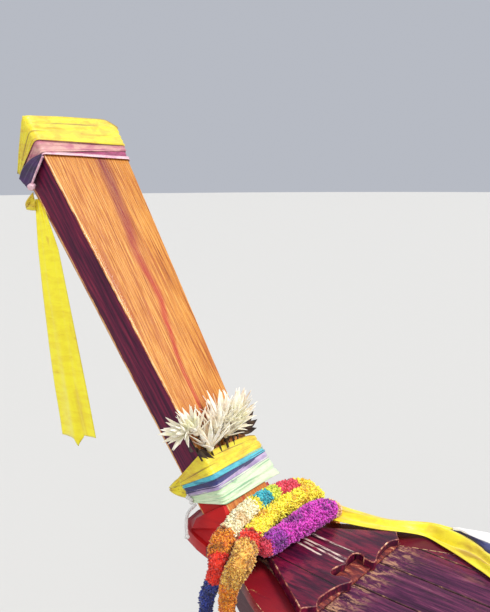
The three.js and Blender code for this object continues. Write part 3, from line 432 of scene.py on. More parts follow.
stem_edge = Finish("bare arris", 0.6)
stem_at = stem_place(stem_edge)
worn = stem_edge.noise(stem_edge.stretch(stem_at, (12, 12, 4)), 6, 7, 0.7)
stem_edge.colour(stem_edge.ramp(worn, (0.36, "#7a2b1c"), (0.46, "#b9692f"), (0.6, "#e9b671"),
                                (0.8, "#f7dca6")))
stem_edge.relief(worn, 0.0015)

PAINTED_BELOW = -0.05
HEAD_FROM, HEAD_SIDE = 1.28, -0.18


def select_by(piece, kind, test):
    """Selects the faces or edges that pass the test, and leaves edit mode on."""
    activate(piece)
    bpy.ops.object.mode_set(mode="EDIT")
    bpy.ops.mesh.select_mode(type=kind)
    bpy.ops.mesh.select_all(action="DESELECT")
    bpy.ops.object.mode_set(mode="OBJECT")
    for part in piece.data.polygons if kind == "FACE" else piece.data.edges:
        part.select = test(part)
    bpy.ops.object.mode_set(mode="EDIT")


def at_head_corner(edge):
    """True for the edges round the stem's head at its starboard corner."""
    a, b = (stem.data.vertices[k].co - STEM_FOOT for k in edge.vertices)
    upright = abs((a - b).normalized().dot(STEM_UP)) >= 0.95
    return not upright and all(end.dot(STEM_UP) > HEAD_FROM and end.y < HEAD_SIDE for end in (a, b))


stem = like("stem_post")
for vert in stem.data.vertices:
    s = (vert.co - STEM_FOOT).dot(STEM_UP)
    n = (vert.co - STEM_FOOT).dot(STEM_FORE)
    if n > STEM_DEEP * 0.9 and s > 0:
        vert.co += STEM_FORE * (stem_deep(s) - STEM_DEEP)
select_by(stem, "EDGE", at_head_corner)
bpy.ops.mesh.bevel(offset=HEAD_ROUND, segments=5)
bpy.ops.object.mode_set(mode="OBJECT")
modify(stem, "BEVEL", width=0.003, segments=3, limit_method="ANGLE", angle_limit=math.radians(20),
       material=2)
for face in stem.data.polygons:
    aft = face.normal.dot(-STEM_FORE)
    side = abs(face.normal.y)
    high = (face.center - STEM_FOOT).dot(STEM_UP) > PAINTED_BELOW
    if face.material_index != 2:
        face.material_index = 0 if aft > 0.8 and high else 1
    if not high:
        face.material_index = 1
    elif aft < -0.3 and 0.3 < side < 0.95:
        face.material_index = 2
bpy.ops.object.shade_smooth_by_angle(angle=math.radians(30))
settle(stem, "stem_board", "hull", "varnished_wood", varnish, stem_paint, stem_edge, replaces=["stem_post"])


# Rails and cheeks: hardwood caps on the top plank, and the two blocks that
# fill the corners at the stem, painted red and rubbed bare along the edges.
rail_red = painted("rail red paint", "#8c141e", "#5c0f22", "#c98a55", 0.63, rough=0.4)
rail_worn = painted("rail rubbed edge", "#8a2a24", "#6a1c24", "#e2b98a", 0.5, rough=0.5)
cheek_red = painted("cheek red paint", "#c3100f", "#930a16", "#d99a5e", 0.7, rough=0.4)
for side in ("port", "starboard"):
    dressed("rail_" + side, "rail_cap_" + side, "red_paint", rail_red, rail_worn, ease=0.007, segments=3)
    dressed("cheek_" + side, "cheek_block_" + side, "red_paint", cheek_red, rail_worn, ease=0.006, segments=3)


# Bow plate: one thick board at the stem's foot, lacquered dark red, its long
# edges rubbed pale, two carved lobes and a notch at its aft edge.
PLATE_THICK = 0.03
DECK_SLOPE = 0.11
# Scratches and the two seams of the board, from the stem's foot, in plan.
SCRATCHES = [((-0.104, -0.042), (-0.28, -0.022)), ((-0.116, -0.08), (-0.275, -0.072)),
             ((-0.110, -0.006), (-0.213, 0.012)), ((-0.127, -0.023), (-0.282, -0.001))]
PLATE_SEAMS = [-0.075, 0.125]


def line_mark(finish, parts, start, end, thin):
    """1 along the line between two places in plan, 0 away from it."""
    run = (end[0] - start[0], end[1] - start[1])
    long = math.hypot(*run)
    out = (-run[1] / long, run[0] / long)
    base = -(start[0] * out[0] + start[1] * out[1])
    off = finish.sum("MULTIPLY_ADD", parts["X"], out[0],
                     finish.sum("MULTIPLY_ADD", parts["Y"], out[1], base))
    far = finish.sum("ABSOLUTE", off)
    middle = ((start[0] + end[0]) / 2, (start[1] + end[1]) / 2)
    base = -(middle[0] * run[0] + middle[1] * run[1]) / long
    on = finish.sum("MULTIPLY_ADD", parts["X"], run[0] / long,
                    finish.sum("MULTIPLY_ADD", parts["Y"], run[1] / long, base))
    ends = finish.fade(finish.sum("ABSOLUTE", on), long * 0.42, long * 0.5, 1, 0)
    return finish.sum("MULTIPLY", finish.fade(far, thin * 0.4, thin, 1, 0), ends)


lacquer = Finish("plate lacquer", 0.34, coat=0.08, shine=0.3)
at = lacquer.place(shift=-STEM_FOOT)
split = lacquer.parts(at)
along_grain = lacquer.noise(lacquer.stretch(at, (2.2, 16, 10)), 4, 7, 0.66, 0.3)
blot = lacquer.noise(lacquer.stretch(at, (3, 4, 4)), 3, 5)
plate_colour = lacquer.ramp(along_grain, (0.3, "#1a0514"), (0.46, "#430a26"), (0.6, "#6c1230"),
                            (0.78, "#8f2a3c"))
plate_colour = lacquer.mix(lacquer.fade(blot, 0.5, 0.66, 0, 0.7), plate_colour, "#2e0a24")
plate_colour = lacquer.mix(lacquer.fade(blot, 0.36, 0.46, 0.5, 0), plate_colour, "#8d2238")
marks = 0.0
for start, end in SCRATCHES:
    marks = lacquer.sum("MAXIMUM", marks, line_mark(lacquer, split, start, end, 0.006))
broken = lacquer.fade(lacquer.noise(lacquer.stretch(at, (12, 60, 12)), 3, 5), 0.38, 0.6)
marks = lacquer.sum("MULTIPLY", marks, broken)
plate_colour = lacquer.mix(lacquer.sum("MULTIPLY", marks, 0.85), plate_colour, "#f0d9c8")
for y in PLATE_SEAMS:
    seam = line_mark(lacquer, split, (-0.34, y), (0.01, y * 0.75), 0.0032)
    plate_colour = lacquer.mix(lacquer.sum("MULTIPLY", seam, 0.9), plate_colour, "#12060a")
    lacquer.relief(lacquer.sum("SUBTRACT", 1, seam), 0.003)
lacquer.colour(plate_colour)
lacquer.feed("Roughness", lacquer.fade(blot, 0.3, 0.7, 0.22, 0.42))
lacquer.relief(along_grain, 0.0012)


def grained(name, rough, stretch, scale, detail, depth, *stops, broken=0.7):
    """A finish of one noise, coloured by stops along it."""
    finish = Finish(name, rough)
    grain = finish.noise(finish.place(stretch), scale, detail, broken)
    finish.colour(finish.ramp(grain, *stops))
    finish.relief(grain, depth)
    return finish


plate_edge = grained("plate rubbed edge", 0.5, (8, 8, 8), 5, 7, 0.001,
                     (0.42, "#4a1222"), (0.52, "#8a3a34"), (0.62, "#d9a07a"), (0.74, "#f4dcc0"))
lower_wood = grained("plate lower board", 0.6, (3, 9, 9), 7, 7, 0.0015,
                     (0.38, "#2e0a1c"), (0.5, "#701c1c"), (0.6, "#a8553a"), (0.72, "#e0b488"))
BASE_AFT, BASE_FORE, BASE_HALF, BASE_THICK = -0.336, -0.280, 0.262, 0.008
BASE_LIFT = 0.0015
bpy.ops.mesh.primitive_cube_add(size=1)
base = bpy.context.object
base.data.transform(Matrix.Diagonal((BASE_FORE - BASE_AFT, 2 * BASE_HALF, BASE_THICK, 1)))
base.data.transform(Matrix.Translation(((BASE_AFT + BASE_FORE) / 2, 0,
                                        BASE_THICK / 2 - PLATE_THICK + BASE_LIFT)))
base.data.transform(Matrix.Translation(STEM_FOOT) @ Matrix.Rotation(-math.atan(DECK_SLOPE), 4, "Y"))
settle(eased(base, 0.002), "bow_plate_lower_board", "hull", "deck_paint", lower_wood)
dressed("bow_plate", "bow_plate_board", "deck_paint", lacquer, plate_edge, ease=0.003, segments=3, angle=40)


# Foredeck: fore-and-aft planks between the rails, once painted, now purple
# brown with pale wear, with dark caulked seams between them.
DECK_SEAMS = [-0.62, -0.45, -0.29, -0.13, 0.03, 0.19, 0.35, 0.52, 0.68]
SEAM_HALF = 0.0025


def cut_flat(piece, at, normal, keep_inside):
    """Cuts a closed piece at a plane and closes the cut."""
    activate(piece)
    bpy.ops.object.mode_set(mode="EDIT")
    bpy.ops.mesh.select_all(action="SELECT")
    bpy.ops.mesh.bisect(plane_co=at, plane_no=normal, use_fill=True, clear_outer=keep_inside,
                        clear_inner=not keep_inside)
    bpy.ops.object.mode_set(mode="OBJECT")


def spaced(low, high, wide):
    """Places that part a width in boards of about that width."""
    count = max(1, round((high - low) / wide))
    return [low + (high - low) * k / count for k in range(1, count)]


def merged(pieces):
    """The pieces joined into the first one."""
    activate(pieces[0])
    for piece in pieces:
        piece.select_set(True)
    bpy.ops.object.join()
    bpy.ops.object.transform_apply(location=True, rotation=True, scale=True)
    return bpy.context.object


def boards(node, axis, joints, seam=SEAM_HALF, ease=0.0025, segments=2):
    """The CAD board cut into planks at the joints along one axis."""
    normal = [0, 0, 0]
    normal[axis] = 1
    made = []
    edges = [None, *joints, None]
    for low, high in zip(edges, edges[1:]):
        piece = like(node)
        for edge, keep_inside, off in ((low, False, seam), (high, True, -seam)):
            if edge is not None:
                at = [0, 0, 0]
                at[axis] = edge + off
                cut_flat(piece, at, normal, keep_inside)
        if piece.data.polygons:
            modify(piece, "BEVEL", width=ease, segments=segments, limit_method="ANGLE",
                   angle_limit=math.radians(40), material=1)
            made.append(piece)
        else:
            bpy.data.objects.remove(piece)
    whole = merged(made)
    bpy.ops.object.shade_smooth_by_angle(angle=math.radians(30))
    return whole


deck_boards = Finish("foredeck planks", 0.6, shine=0.25)
grain = deck_boards.noise(deck_boards.place((1.2, 16, 6)), 5, 8, 0.7, 0.4)
wear = deck_boards.noise(deck_boards.place((1, 3, 3)), 4, 7, 0.7)
deck_colour = deck_boards.ramp(grain, (0.32, "#1f0b1c"), (0.47, "#45183a"), (0.6, "#6a2a4c"),
                               (0.78, "#a06a78"))
deck_colour = deck_boards.mix(deck_boards.fade(wear, 0.56, 0.68, 0, 0.5), deck_colour, "#8c5650")
deck_at = deck_boards.place(shift=-STEM_FOOT)
flakes = deck_boards.noise(deck_boards.stretch(deck_at, (9, 14, 9)), 3, 7, 0.75, 0.5)
fore_of_foot, port_of_foot, _ = deck_boards.parts(deck_at)
near_plate = deck_boards.fade(fore_of_foot, -0.43, -0.335)
near_rail = deck_boards.fade(port_of_foot, -0.2, -0.42, 0, 0.8)
reddened = deck_boards.sum("MULTIPLY", near_rail, deck_boards.fade(flakes, 0.38, 0.56))
deck_colour = deck_boards.mix(reddened, deck_colour, "#a8281a")
flaked = deck_boards.sum("MULTIPLY", near_plate, deck_boards.fade(flakes, 0.47, 0.6, 0, 0.8))
deck_colour = deck_boards.mix(flaked, deck_colour, "#cf9a76")
deck_colour = deck_boards.mix(deck_boards.fade(wear, 0.34, 0.42, 0.8, 0), deck_colour, "#6c1a34")
deck_boards.colour(deck_colour)
deck_boards.relief(grain, 0.0018)
deck_boards.relief(wear, 0.001)
deck_edge = grained("foredeck plank edges", 0.7, (4, 4, 4), 9, 6, 0.001,
                    (0.4, "#2a161a"), (0.55, "#5e3a34"), (0.68, "#c2946a"))
settle(boards("foredeck", 1, DECK_SEAMS), "foredeck_planks", "hull", "deck_wood", deck_boards, deck_edge,
       replaces=["foredeck"])


# Waist cloths: five lengths of thin satin wound round the stem one over the
# other, yellow over teal, navy, lavender and mint, pulled tight at the front.
# Edges of the cloths up the stem at its corners: starboard and port of the aft
# face, then port and starboard of the front.
WAIST_EDGES = [(0.124, 0.119, 0.167, 0.160), (0.190, 0.170, 0.190, 0.188), (0.207, 0.180, 0.202, 0.198),
               (0.213, 0.201, 0.221, 0.212), (0.224, 0.219, 0.230, 0.226), (0.276, 0.281, 0.248, 0.250)]
LAP_AT = 0.12
TURNS = 1.04
CLOTH_THICK = 0.0014


def satin(name, light, deep, shade, rough=0.42, weave=900, folds=None):
    """Thin shiny cloth: a fine weave, creases painted a little darker as painted shade,
    and folds drawn along its length in painted shade, as wide as the stretch of the cloth's own map says."""
    finish = Finish(name, rough, sheen=0.4)
    crease = finish.noise(finish.place((3, 3, 9)), 5, 5, 0.6, 0.4)
    fine = finish.noise(finish.place(), weave, 2)
    # Painted shade: the crease noise darkens the cloth to deep, then to shade.
    colour = finish.mix(finish.fade(crease, 0.4, 0.62), light, deep)
    colour = finish.mix(finish.fade(crease, 0.62, 0.75, 0, 0.6), colour, shade)
    if folds:
        # Painted shade along the drawn folds.
        folds_and_painted_shade = finish.noise(finish.stretch(finish.step("TexCoord", {}, "UV"), folds), 1, 3, 0.5, 0.6)
        colour = finish.mix(finish.fade(folds_and_painted_shade, 0.54, 0.66, 0, 0.75), colour, shade)
        finish.relief(folds_and_painted_shade, 0.004)
    finish.colour(colour)
    finish.feed("Roughness", finish.fade(crease, 0.3, 0.7, rough - 0.08, rough + 0.12))
    finish.relief(crease, 0.003)
    finish.relief(fine, 0.0003)
    return finish


yellow_satin = satin("yellow satin", "#e6d41c", "#d8b618", "#7c520c", folds=(3, 8, 1))
# Painted light: the hanging sash's satin is a brighter copy of the yellow, standing in for light through the
# cloth.
backlit_yellow_painted = satin("yellow satin painted backlit", "#fdef10", "#f6e20c", "#d9ae0c", folds=(2, 2.5, 1))
# Painted shade: the deck sash's brown fold colour runs along its length.
deck_yellow = satin("deck sash satin", "#f2df10", "#e2c410", "#a8720e", folds=(3, 2.2, 1))
mint_satin = satin("mint satin", "#d8e6c0", "#c4dbaf", "#5f9c6e", folds=(5, 7, 1))
lavender_satin = satin("lavender satin", "#bba6c2", "#9c86ac", "#6f5a86")
navy_satin = satin("navy satin", "#272a66", "#1b1a4c", "#0c0a26")
teal_satin = satin("teal satin", "#52bcc8", "#2f93aa", "#1b5878", folds=(4, 2, 1))
pink_satin = satin("pink satin", "#cf9a90", "#b86a78", "#761c48", folds=(3, 3.5, 1))
purple_satin = satin("purple satin", "#3c0c52", "#260638", "#12031c")


def woven(spot, cells_across, cells_along, thick=CLOTH_THICK):
    """A sheet of cloth laid out by spot(u, v), and its area."""
    bpy.ops.mesh.primitive_grid_add(x_subdivisions=cells_across, y_subdivisions=cells_along, size=2)
    piece = bpy.context.object
    for vert in piece.data.vertices:
        vert.co = spot((vert.co.x + 1) / 2, (vert.co.y + 1) / 2)
    area = sum(face.area for face in piece.data.polygons)
    modify(piece, "SOLIDIFY", thickness=thick, offset=0)
    bpy.ops.object.shade_smooth()
    return piece, area


def hung(cloth, width, name, slot, finish, node=None):
    piece, area = cloth
    settle(piece, name, "hull", slot, finish, replaces=[node] if node else ())


def around(u, s, off, soft, slack):
    """A place on a rounded loop round the stem; u runs from the aft face's
    starboard arris to port, forward, across the front and back."""
    half, low, high = stem_half(s) + off, -off, stem_deep(s) + off
    corners = [Vector((-half - slack, low)), Vector((half, low)), Vector((half, high)), Vector((-half, high))]
    k = int(u % 1 * 4)
    f = u % 1 * 4 - k
    a, b = corners[k], corners[(k + 1) % 4]
    long = (b - a).length
    run = (b - a) / long
    inward = Vector((-run.y, run.x))
    d = 0.293 * soft + f * (long - 0.586 * soft)
    near = min(d, long - d)
    dip = soft - math.sqrt(max(0, soft ** 2 - (soft - near) ** 2)) if near < soft else 0
    at = a + run * d + inward * dip
    return on_stem(s, at.y, at.x)


def edge_height(edge, u):
    k = int(u % 1 * 4)
    f = u % 1 * 4 - k
    return edge[k] + (edge[(k + 1) % 4] - edge[k]) * f


def ridged(x, y, seed):
    return 1 - abs(noise.noise(Vector((x, y, seed)))) * 2


def wound(low, high, off, seed, depth=0.004, rows=14, soft=0.012, slack=(0, 0), droop=0.0):
    """One cloth wound once round the stem between two edges, lapped on the
    starboard side; slack is how far it stands off the starboard arris, at the
    stem's foot and per metre up, and droop how far its top rounds off there."""
    def spot(u, v):
        place = u * TURNS - LAP_AT
        corner = math.exp(-((place % 1 if place % 1 < 0.5 else 1 - place % 1) / 0.022) ** 2)
        top = edge_height(high, place) - droop * corner
        s = edge_height(low, place) * (1 - v) + top * v
        wave = 0.002 * noise.noise(Vector((place * 7, v * 2, seed)))
        tight = 0.35 + 0.65 * min(1, 4 * abs(place % 1 - 0.5))
        crease = ridged(place * 3.2 + seed, v * 4 + 2.2 * place, seed) * depth * tight
        edge_roll = 0.0016 * math.exp(-min(v, 1 - v) * 14)
        lap = 0.0012 * u
        stand = slack[0] + slack[1] * s if slack[0] else 0
        return around(place, s + wave, off + max(crease, 0) + edge_roll + lap, soft, stand)

    return woven(spot, 200, rows)


WAIST = [("mint", "band_cloth", mint_satin, 0.09), ("lavender", "pink_cloth", lavender_satin, 0.03),
         ("navy", "purple_cloth", navy_satin, 0.03), ("teal", "teal_cloth", teal_satin, 0.03),
         ("yellow", "yellow_cloth", yellow_satin, 0.06)]
for k, (name, slot, finish, width) in enumerate(WAIST):
    lap = 0.004 if k else 0
    low = [s - lap for s in WAIST_EDGES[k]]
    cloth = wound(low, WAIST_EDGES[k + 1], 0.006 + 0.0009 * k, 3.1 * k, rows=22 if k in (0, 4) else 6,
                  soft=0.02, slack=(0.112, -0.325), droop=0.008 if k == 4 else 0)
    hung(cloth, width, f"waist_cloth_{name}", slot, finish,
         None if k else "waist_cloth")


def loose_end(tip, high, low):
    """A loose end of cloth between its tip and the two places it comes from."""
    def spot(u, v):
        at = Vector(tip).lerp(Vector(high).lerp(Vector(low), v), 0.12 + 0.88 * u)
        fold = 0.006 * math.sin(3 * math.pi * v) * math.sin(math.pi * (0.15 + 0.8 * u))
        return STEM_FOOT + at + Vector((0, fold + 0.01 * math.sin(math.pi * u), 0))

    return woven(spot, 14, 14)


hung(loose_end((0.277, 0.12, 0.104), (0.222, 0.112, 0.160), (0.203, 0.112, 0.088)), 0.06,
     "waist_cloth_flap", "yellow_cloth", yellow_satin)
waist_knot = []
for s, n, size in ((0.184, 0.112, 0.0075), (0.175, 0.106, 0.0065), (0.166, 0.110, 0.0065)):
    bpy.ops.mesh.primitive_ico_sphere_add(subdivisions=3, radius=size,
                                          location=on_stem(s, n, stem_half(s) + 0.014))
    bpy.ops.transform.resize(value=(1.2, 0.8, 0.9))
    waist_knot.append(bpy.context.object)
knot = merged(waist_knot)
bpy.ops.object.shade_smooth()
settle(knot, "waist_knot", "hull", "cord", cotton)


# Top cloths: yellow satin over the stem's head, a pink one below it with a
# magenta strip of painted shade under its fold, and a purple one tied to port with a small knot.
CAP_LOW = (1.356, 1.374, 1.322, 1.312)
CAP_HIGH = (1.462, 1.462, 1.335, 1.335)
PINK_LOW = (1.338, 1.331, 1.298, 1.296)
SHADE_LOW = (1.310, 1.326, 1.294, 1.284)
HEM_LOW = (1.304, 1.325, 1.291, 1.278)
HEM_HIGH = (1.314, 1.334, 1.300, 1.292)
KNOT_AT = (1.263, 0.086)
KNOT_RADIUS = 0.0125
STRING_RADIUS = 0.0034
# Points of the purple cloth's edges: up the stem and forward of its aft face.
PURPLE_TOP = [(1.325, -0.006, 0), (1.336, 0.043, 0), (1.331, 0.088, 0), (1.312, 0.118, 0)]
PURPLE_LOW = [(1.310, -0.005, 0), (1.290, 0.036, 0), (1.268, 0.078, 0), (1.266, 0.104, 0)]

hung(wound(CAP_LOW, CAP_HIGH, 0.007, 8.2, rows=24, depth=0.005, soft=0.02, droop=HEAD_ROUND * 0.9), 0.12,
     "top_cloth_yellow", "yellow_cloth", yellow_satin, "top_cloth")


def head_cover(u, v):
    """The yellow cloth's fold over the stem's head."""
    corner = math.exp(-(u / 0.075) ** 2)
    s = 1.463 + (1.336 - 1.463) * v - HEAD_ROUND * 0.85 * corner
    n = -0.006 + (STEM_DEEP_TOP + 0.012) * v
    bulge = 0.006 * math.sin(math.pi * u) * math.sin(math.pi * v)
    half = stem_half(s) + 0.006
    crease = 0.003 * ridged(u * 4, v * 2, 5.5)
    return on_stem(s, n, half * (2 * u - 1)) + (STEM_UP + STEM_FORE) * (bulge + crease)


# Painted shade: a magenta strip laid in the pink cloth stands for the shadow under its fold.
pink_fold_shadow_satin = satin("pink fold painted shade satin", "#a32a62", "#7c1648", "#4a0a30", folds=(4, 3, 1))
pale_pink = satin("pale pink satin", "#ecc4ca", "#dc9ab0", "#94386a", folds=(4, 2, 1))
hung(woven(head_cover, 40, 16), 0.17, "top_cloth_cover", "yellow_cloth", yellow_satin)
for name, finish, width, low, high, off, seed, depth, rows in (
        ("pink", pink_satin, 0.06, PINK_LOW, [s + 0.006 for s in CAP_LOW], 0.004, 6.4, 0.004, 14),
        ("magenta", pink_fold_shadow_satin, 0.03, SHADE_LOW, [s + 0.008 for s in PINK_LOW], 0.0025, 4.4, 0.002, 8),
        ("hem", pale_pink, 0.02, HEM_LOW, HEM_HIGH, 0.0045, 7.7, 0.002, 8)):
    hung(wound(low, high, off, seed, rows=rows, depth=depth), width, "top_cloth_" + name, "pink_cloth",
         finish)
purple_top, purple_low = through(PURPLE_TOP, 30), through(PURPLE_LOW, 30)


def purple_patch(u, v):
    """Gathered from the port arris to the knot; u runs aft to fore."""
    at = purple_top[round(u * 30)].lerp(purple_low[round(u * 30)], v)
    fan = 0.005 * ridged(u * 1.2 + v, v * 4.5, 2.7) * (0.5 + 0.5 * u)
    return on_stem(at.x, at.y, stem_half(at.x) + 0.012 + max(fan, 0) + 0.006 * u)


hung(woven(purple_patch, 30, 20), 0.05, "top_cloth_purple", "purple_cloth", purple_satin)
bpy.ops.mesh.primitive_ico_sphere_add(subdivisions=4, radius=KNOT_RADIUS,
                                      location=on_stem(*KNOT_AT, stem_half(1.265) + 0.022))
for vert in bpy.context.object.data.vertices:
    vert.co *= 1 + 0.22 * noise.noise(vert.co * 110)
bpy.ops.object.shade_smooth()
settle(bpy.context.object, "top_knot", "hull", "pink_cloth", pale_pink)
string = [on_stem(1.316, -0.007, stem_half(1.316) + 0.012), on_stem(1.291, 0.038, stem_half(1.29) + 0.019),
          on_stem(1.268, 0.078, stem_half(1.27) + 0.024)]
settle(tube(through(string, 14), STRING_RADIUS), "top_string", "hull", "pink_cloth", pale_pink)


# Hanging sash: one length of yellow satin tied at the stem's head, that hangs
# straight down to port of the bow, folded once along its middle.
# Rows down it: middle from the stem's foot, half width and turn in degrees.
SASH_ROWS = [((0.752, 0.172, 0.985), 0.010, 10), ((0.724, 0.184, 0.930), 0.022, 10),
             ((0.702, 0.184, 0.832), 0.040, 9), ((0.692, 0.172, 0.687), 0.050, 8),
             ((0.678, 0.158, 0.517), 0.061, 6), ((0.673, 0.138, 0.368), 0.071, 3),
             ((0.671, 0.112, 0.205), 0.079, 0)]


def sash_spot(u, v):
    """u runs aft to fore across the sash and v down it."""
    place = v * (len(SASH_ROWS) - 1)
    i = min(int(place), len(SASH_ROWS) - 2)
    f = place - i
    f = f * f * (3 - 2 * f) if i == 0 else f
    (a, half_a, turn_a), (b, half_b, turn_b) = SASH_ROWS[i], SASH_ROWS[i + 1]
    middle = Vector(a).lerp(Vector(b), f)
    half = half_a + (half_b - half_a) * f
    turn = math.radians(turn_a + (turn_b - turn_a) * f)
    out = 2 * u - 1
    along = Vector((math.cos(turn), math.sin(turn), 0))
    across = Vector((-along.y, along.x, 0))
    fold = 0.010 * math.exp(-((out + 0.1) * 3.2) ** 2) * v - 0.004 * math.exp(-((out - 0.25) * 5) ** 2)
    fold += 0.004 * noise.noise(Vector((out * 2.4, v * 2.2, 4.4)))
    tip = 0.03 * v ** 30 * max(0, 1 - abs(out - 0.1) * 4) + 0.016 * v ** 30 * (out < 0.1)
    return STEM_FOOT + middle - along * half * out + across * fold - Vector((0, 0, tip))


hung(woven(sash_spot, 36, 160), 0.14, "hanging_sash_cloth", "yellow_cloth", backlit_yellow_painted,
     "hanging_sash")
hung(loose_end((0.790, 0.192, 0.953), (0.752, 0.190, 1.008), (0.740, 0.190, 0.950)), 0.03,
     "hanging_sash_bow", "yellow_cloth", yellow_satin)


# Flowers: a bunch of cloth lotus blossoms with pointed cream petals and a few
# dark leaves, tied to the aft face of the stem above the waist cloths.
# Each blossom: place on the stem, the way it faces (up the stem, to port, out
# from it) and its petals' length. Each whorl: petals, lean in degrees, share of
# that length. Each leaf: place, length and the way it points in degrees.
BLOSSOMS = [((0.360, 0.160), (0.20, 1.00, 0.05), 0.076), ((0.346, 0.118), (0.95, 0.35, 0.25), 0.088),
            ((0.288, 0.092), (0.94, 0.00, 0.38), 0.090), ((0.318, 0.040), (0.95, 0.00, 0.45), 0.096),
            ((0.340, -0.005), (0.90, 0.05, 0.55), 0.100), ((0.318, -0.040), (0.55, 0.05, 0.85), 0.088),
            ((0.304, 0.002), (0.85, -0.05, 0.60), 0.074), ((0.336, -0.070), (0.72, 0.00, 0.70), 0.100)]
PETAL_THICK = 0.0011
WHORLS = [(4, 8, 1.0), (6, 22, 1.06), (7, 38, 1.0), (6, 56, 0.85)]
LEAF_LEAN = math.radians(58)
STALK_FOOT = 0.262
LEAVES = [((0.300, -0.094), 0.070, 180), ((0.308, -0.098), 0.075, 160), ((0.316, -0.094), 0.065, 140),
          ((0.296, -0.078), 0.065, 200), ((0.304, -0.058), 0.060, 170), ((0.300, -0.040), 0.055, 150),
          ((0.318, 0.157), 0.055, -20), ((0.304, 0.135), 0.055, -60), ((0.296, 0.118), 0.050, -80),
          ((0.290, 0.050), 0.050, 100), ((0.296, 0.020), 0.055, 60), ((0.298, -0.010), 0.055, 120),
          ((0.300, 0.070), 0.050, 90), ((0.296, -0.030), 0.050, 70), ((0.292, 0.095), 0.050, 30),
          ((0.290, 0.075), 0.048, 150), ((0.288, 0.035), 0.050, 20), ((0.288, 0.005), 0.052, 150),
          ((0.290, -0.020), 0.050, 30), ((0.290, -0.055), 0.050, 140), ((0.292, -0.070), 0.050, 40)]


def petal(long, wide, cup, curl, cells=(6, 8)):
    """One pointed petal that rises along Z, its hollow toward -X."""
    def spot(u, v):
        out = 2 * u - 1
        half = wide / 2 * (math.sin(math.pi * min(1, v * 0.86 + 0.12)) ** 0.8) * (1 - v ** 6)
        hollow = cup * (1 - out ** 2) * math.sin(math.pi * min(v + 0.1, 1))
        back = curl * v ** 2
        return Vector((hollow + back, half * out + 0.0004 * out, long * v))

    return woven(spot, *cells, thick=PETAL_THICK)[0]


def turned_to(direction, roll=0.0):
    """A turn that takes +Z to the direction."""
    return Vector(direction).to_track_quat("Z", "Y").to_matrix().to_4x4() @ Matrix.Rotation(roll, 4, "Z")


def moved(piece, matrix):
    piece.data.transform(matrix)
    return piece


petal_cloth = Finish("cream petals", 0.75, sheen=0.3)
vein = petal_cloth.noise(petal_cloth.place((1, 1, 1)), 60, 5)
painted_shade_and_tint = petal_cloth.noise(petal_cloth.place(), 14, 3)
petal_colour = petal_cloth.mix(petal_cloth.fade(vein, 0.35, 0.65), "#fffdf0", "#f6ecd0")
# Painted shade: darker tan patches over the petals, and a pale yellow tint where the noise is low.
petal_colour = petal_cloth.mix(petal_cloth.fade(painted_shade_and_tint, 0.52, 0.7, 0, 0.6), petal_colour, "#cf9f6e")
petal_colour = petal_cloth.mix(petal_cloth.fade(painted_shade_and_tint, 0.34, 0.44, 0.4, 0), petal_colour, "#eeeda8")
petal_cloth.colour(petal_colour)
petal_cloth.relief(vein, 0.0008)

leaf_cloth = grained("dark leaves", 0.6, (1, 1, 1), 45, 5, 0.001,
                     (0.35, "#160b06"), (0.5, "#3a2010"), (0.65, "#4f3a1c"), broken=0.6)

dice = random.Random(11)
for k, ((s, y), (rise, to_side, outward), long) in enumerate(BLOSSOMS):
    petals = []
    for count, lean, share in WHORLS:
        for j in range(count):
            piece = petal(long * share * dice.uniform(0.82, 1.1), long * 0.19, long * 0.04, long * 0.08,
                          cells=(4, 7))
            angle = 2 * math.pi * (j + dice.uniform(-0.3, 0.3)) / count + lean
            tilt = math.radians(lean + dice.uniform(-9, 9))
            turn = Matrix.Rotation(angle, 4, "Z") @ Matrix.Rotation(tilt, 4, "Y")
            petals.append(moved(piece, turn @ Matrix.Translation((0.003, 0, 0))))
    bpy.ops.mesh.primitive_uv_sphere_add(segments=12, ring_count=8, radius=long * 0.13)
    petals.append(bpy.context.object)
    blossom = merged(petals)
    facing = STEM_UP * rise + Vector((0, to_side, 0)) - STEM_FORE * outward
    moved(blossom, Matrix.Translation(on_stem(s, -0.026, y)) @ turned_to(facing, dice.uniform(0, 6)))
    settle(blossom, f"blossom_{k + 1}", "hull", "petals", petal_cloth,
           replaces=["flower_bunch"] if k == 0 else ())

leaves = []
for (s, y), long, spin in LEAVES:
    piece = petal(long, long * 0.34, long * 0.04, long * 0.3)
    point = STEM_UP * math.sin(math.radians(spin)) + Vector((0, math.cos(math.radians(spin)), 0))
    facing = point * math.sin(LEAF_LEAN) - STEM_FORE * math.cos(LEAF_LEAN)
    leaves.append(moved(piece, Matrix.Translation(on_stem(s, -0.012, y)) @ turned_to(facing)))
stalks = [tube([on_stem(STALK_FOOT, -0.008, y * 0.8), on_stem(s, -0.026, y)], 0.003, sides=2)
          for (s, y), _, _ in BLOSSOMS]
settle(merged(leaves + stalks), "flower_leaves", "hull", "leaf", leaf_cloth)


# Garlands: cords set close all round with small cloth petals, in lengths of
# different colours, laid over the bow plate and rails and round the stem.
def strand_point(line, f):
    """The place at that share of a line of points, and its direction."""
    place = f * (len(line) - 1)
    i = min(int(place), len(line) - 2)
    return line[i].lerp(line[i + 1], place - i), (line[i + 1] - line[i]).normalized()


PETAL_SHAPE = [(0, 0, 0), (0.012, 0.5, 0.6), (0.012, -0.5, 0.6), (0, 0, 1), (0.16, 0, 0.6), (-0.07, 0, 0.6)]
PETAL_FACES = [(0, 4, 1), (0, 2, 4), (4, 3, 1), (4, 2, 3), (0, 1, 5), (0, 5, 2), (5, 1, 3), (5, 3, 2)]


def tufts(placed):
    """One mesh of small closed petals, each a matrix that scales and turns it."""
    corners = [Vector(p) for p in PETAL_SHAPE]
    points, faces = [], []
    for matrix in placed:
        start = len(points)
        points.extend(matrix @ corner for corner in corners)
        faces.extend(tuple(start + i for i in face) for face in PETAL_FACES)
    mesh = bpy.data.meshes.new("tufts")
    mesh.from_pydata(points, [], faces)
    piece = linked("tufts", mesh)
    bpy.ops.object.shade_smooth()
    return piece


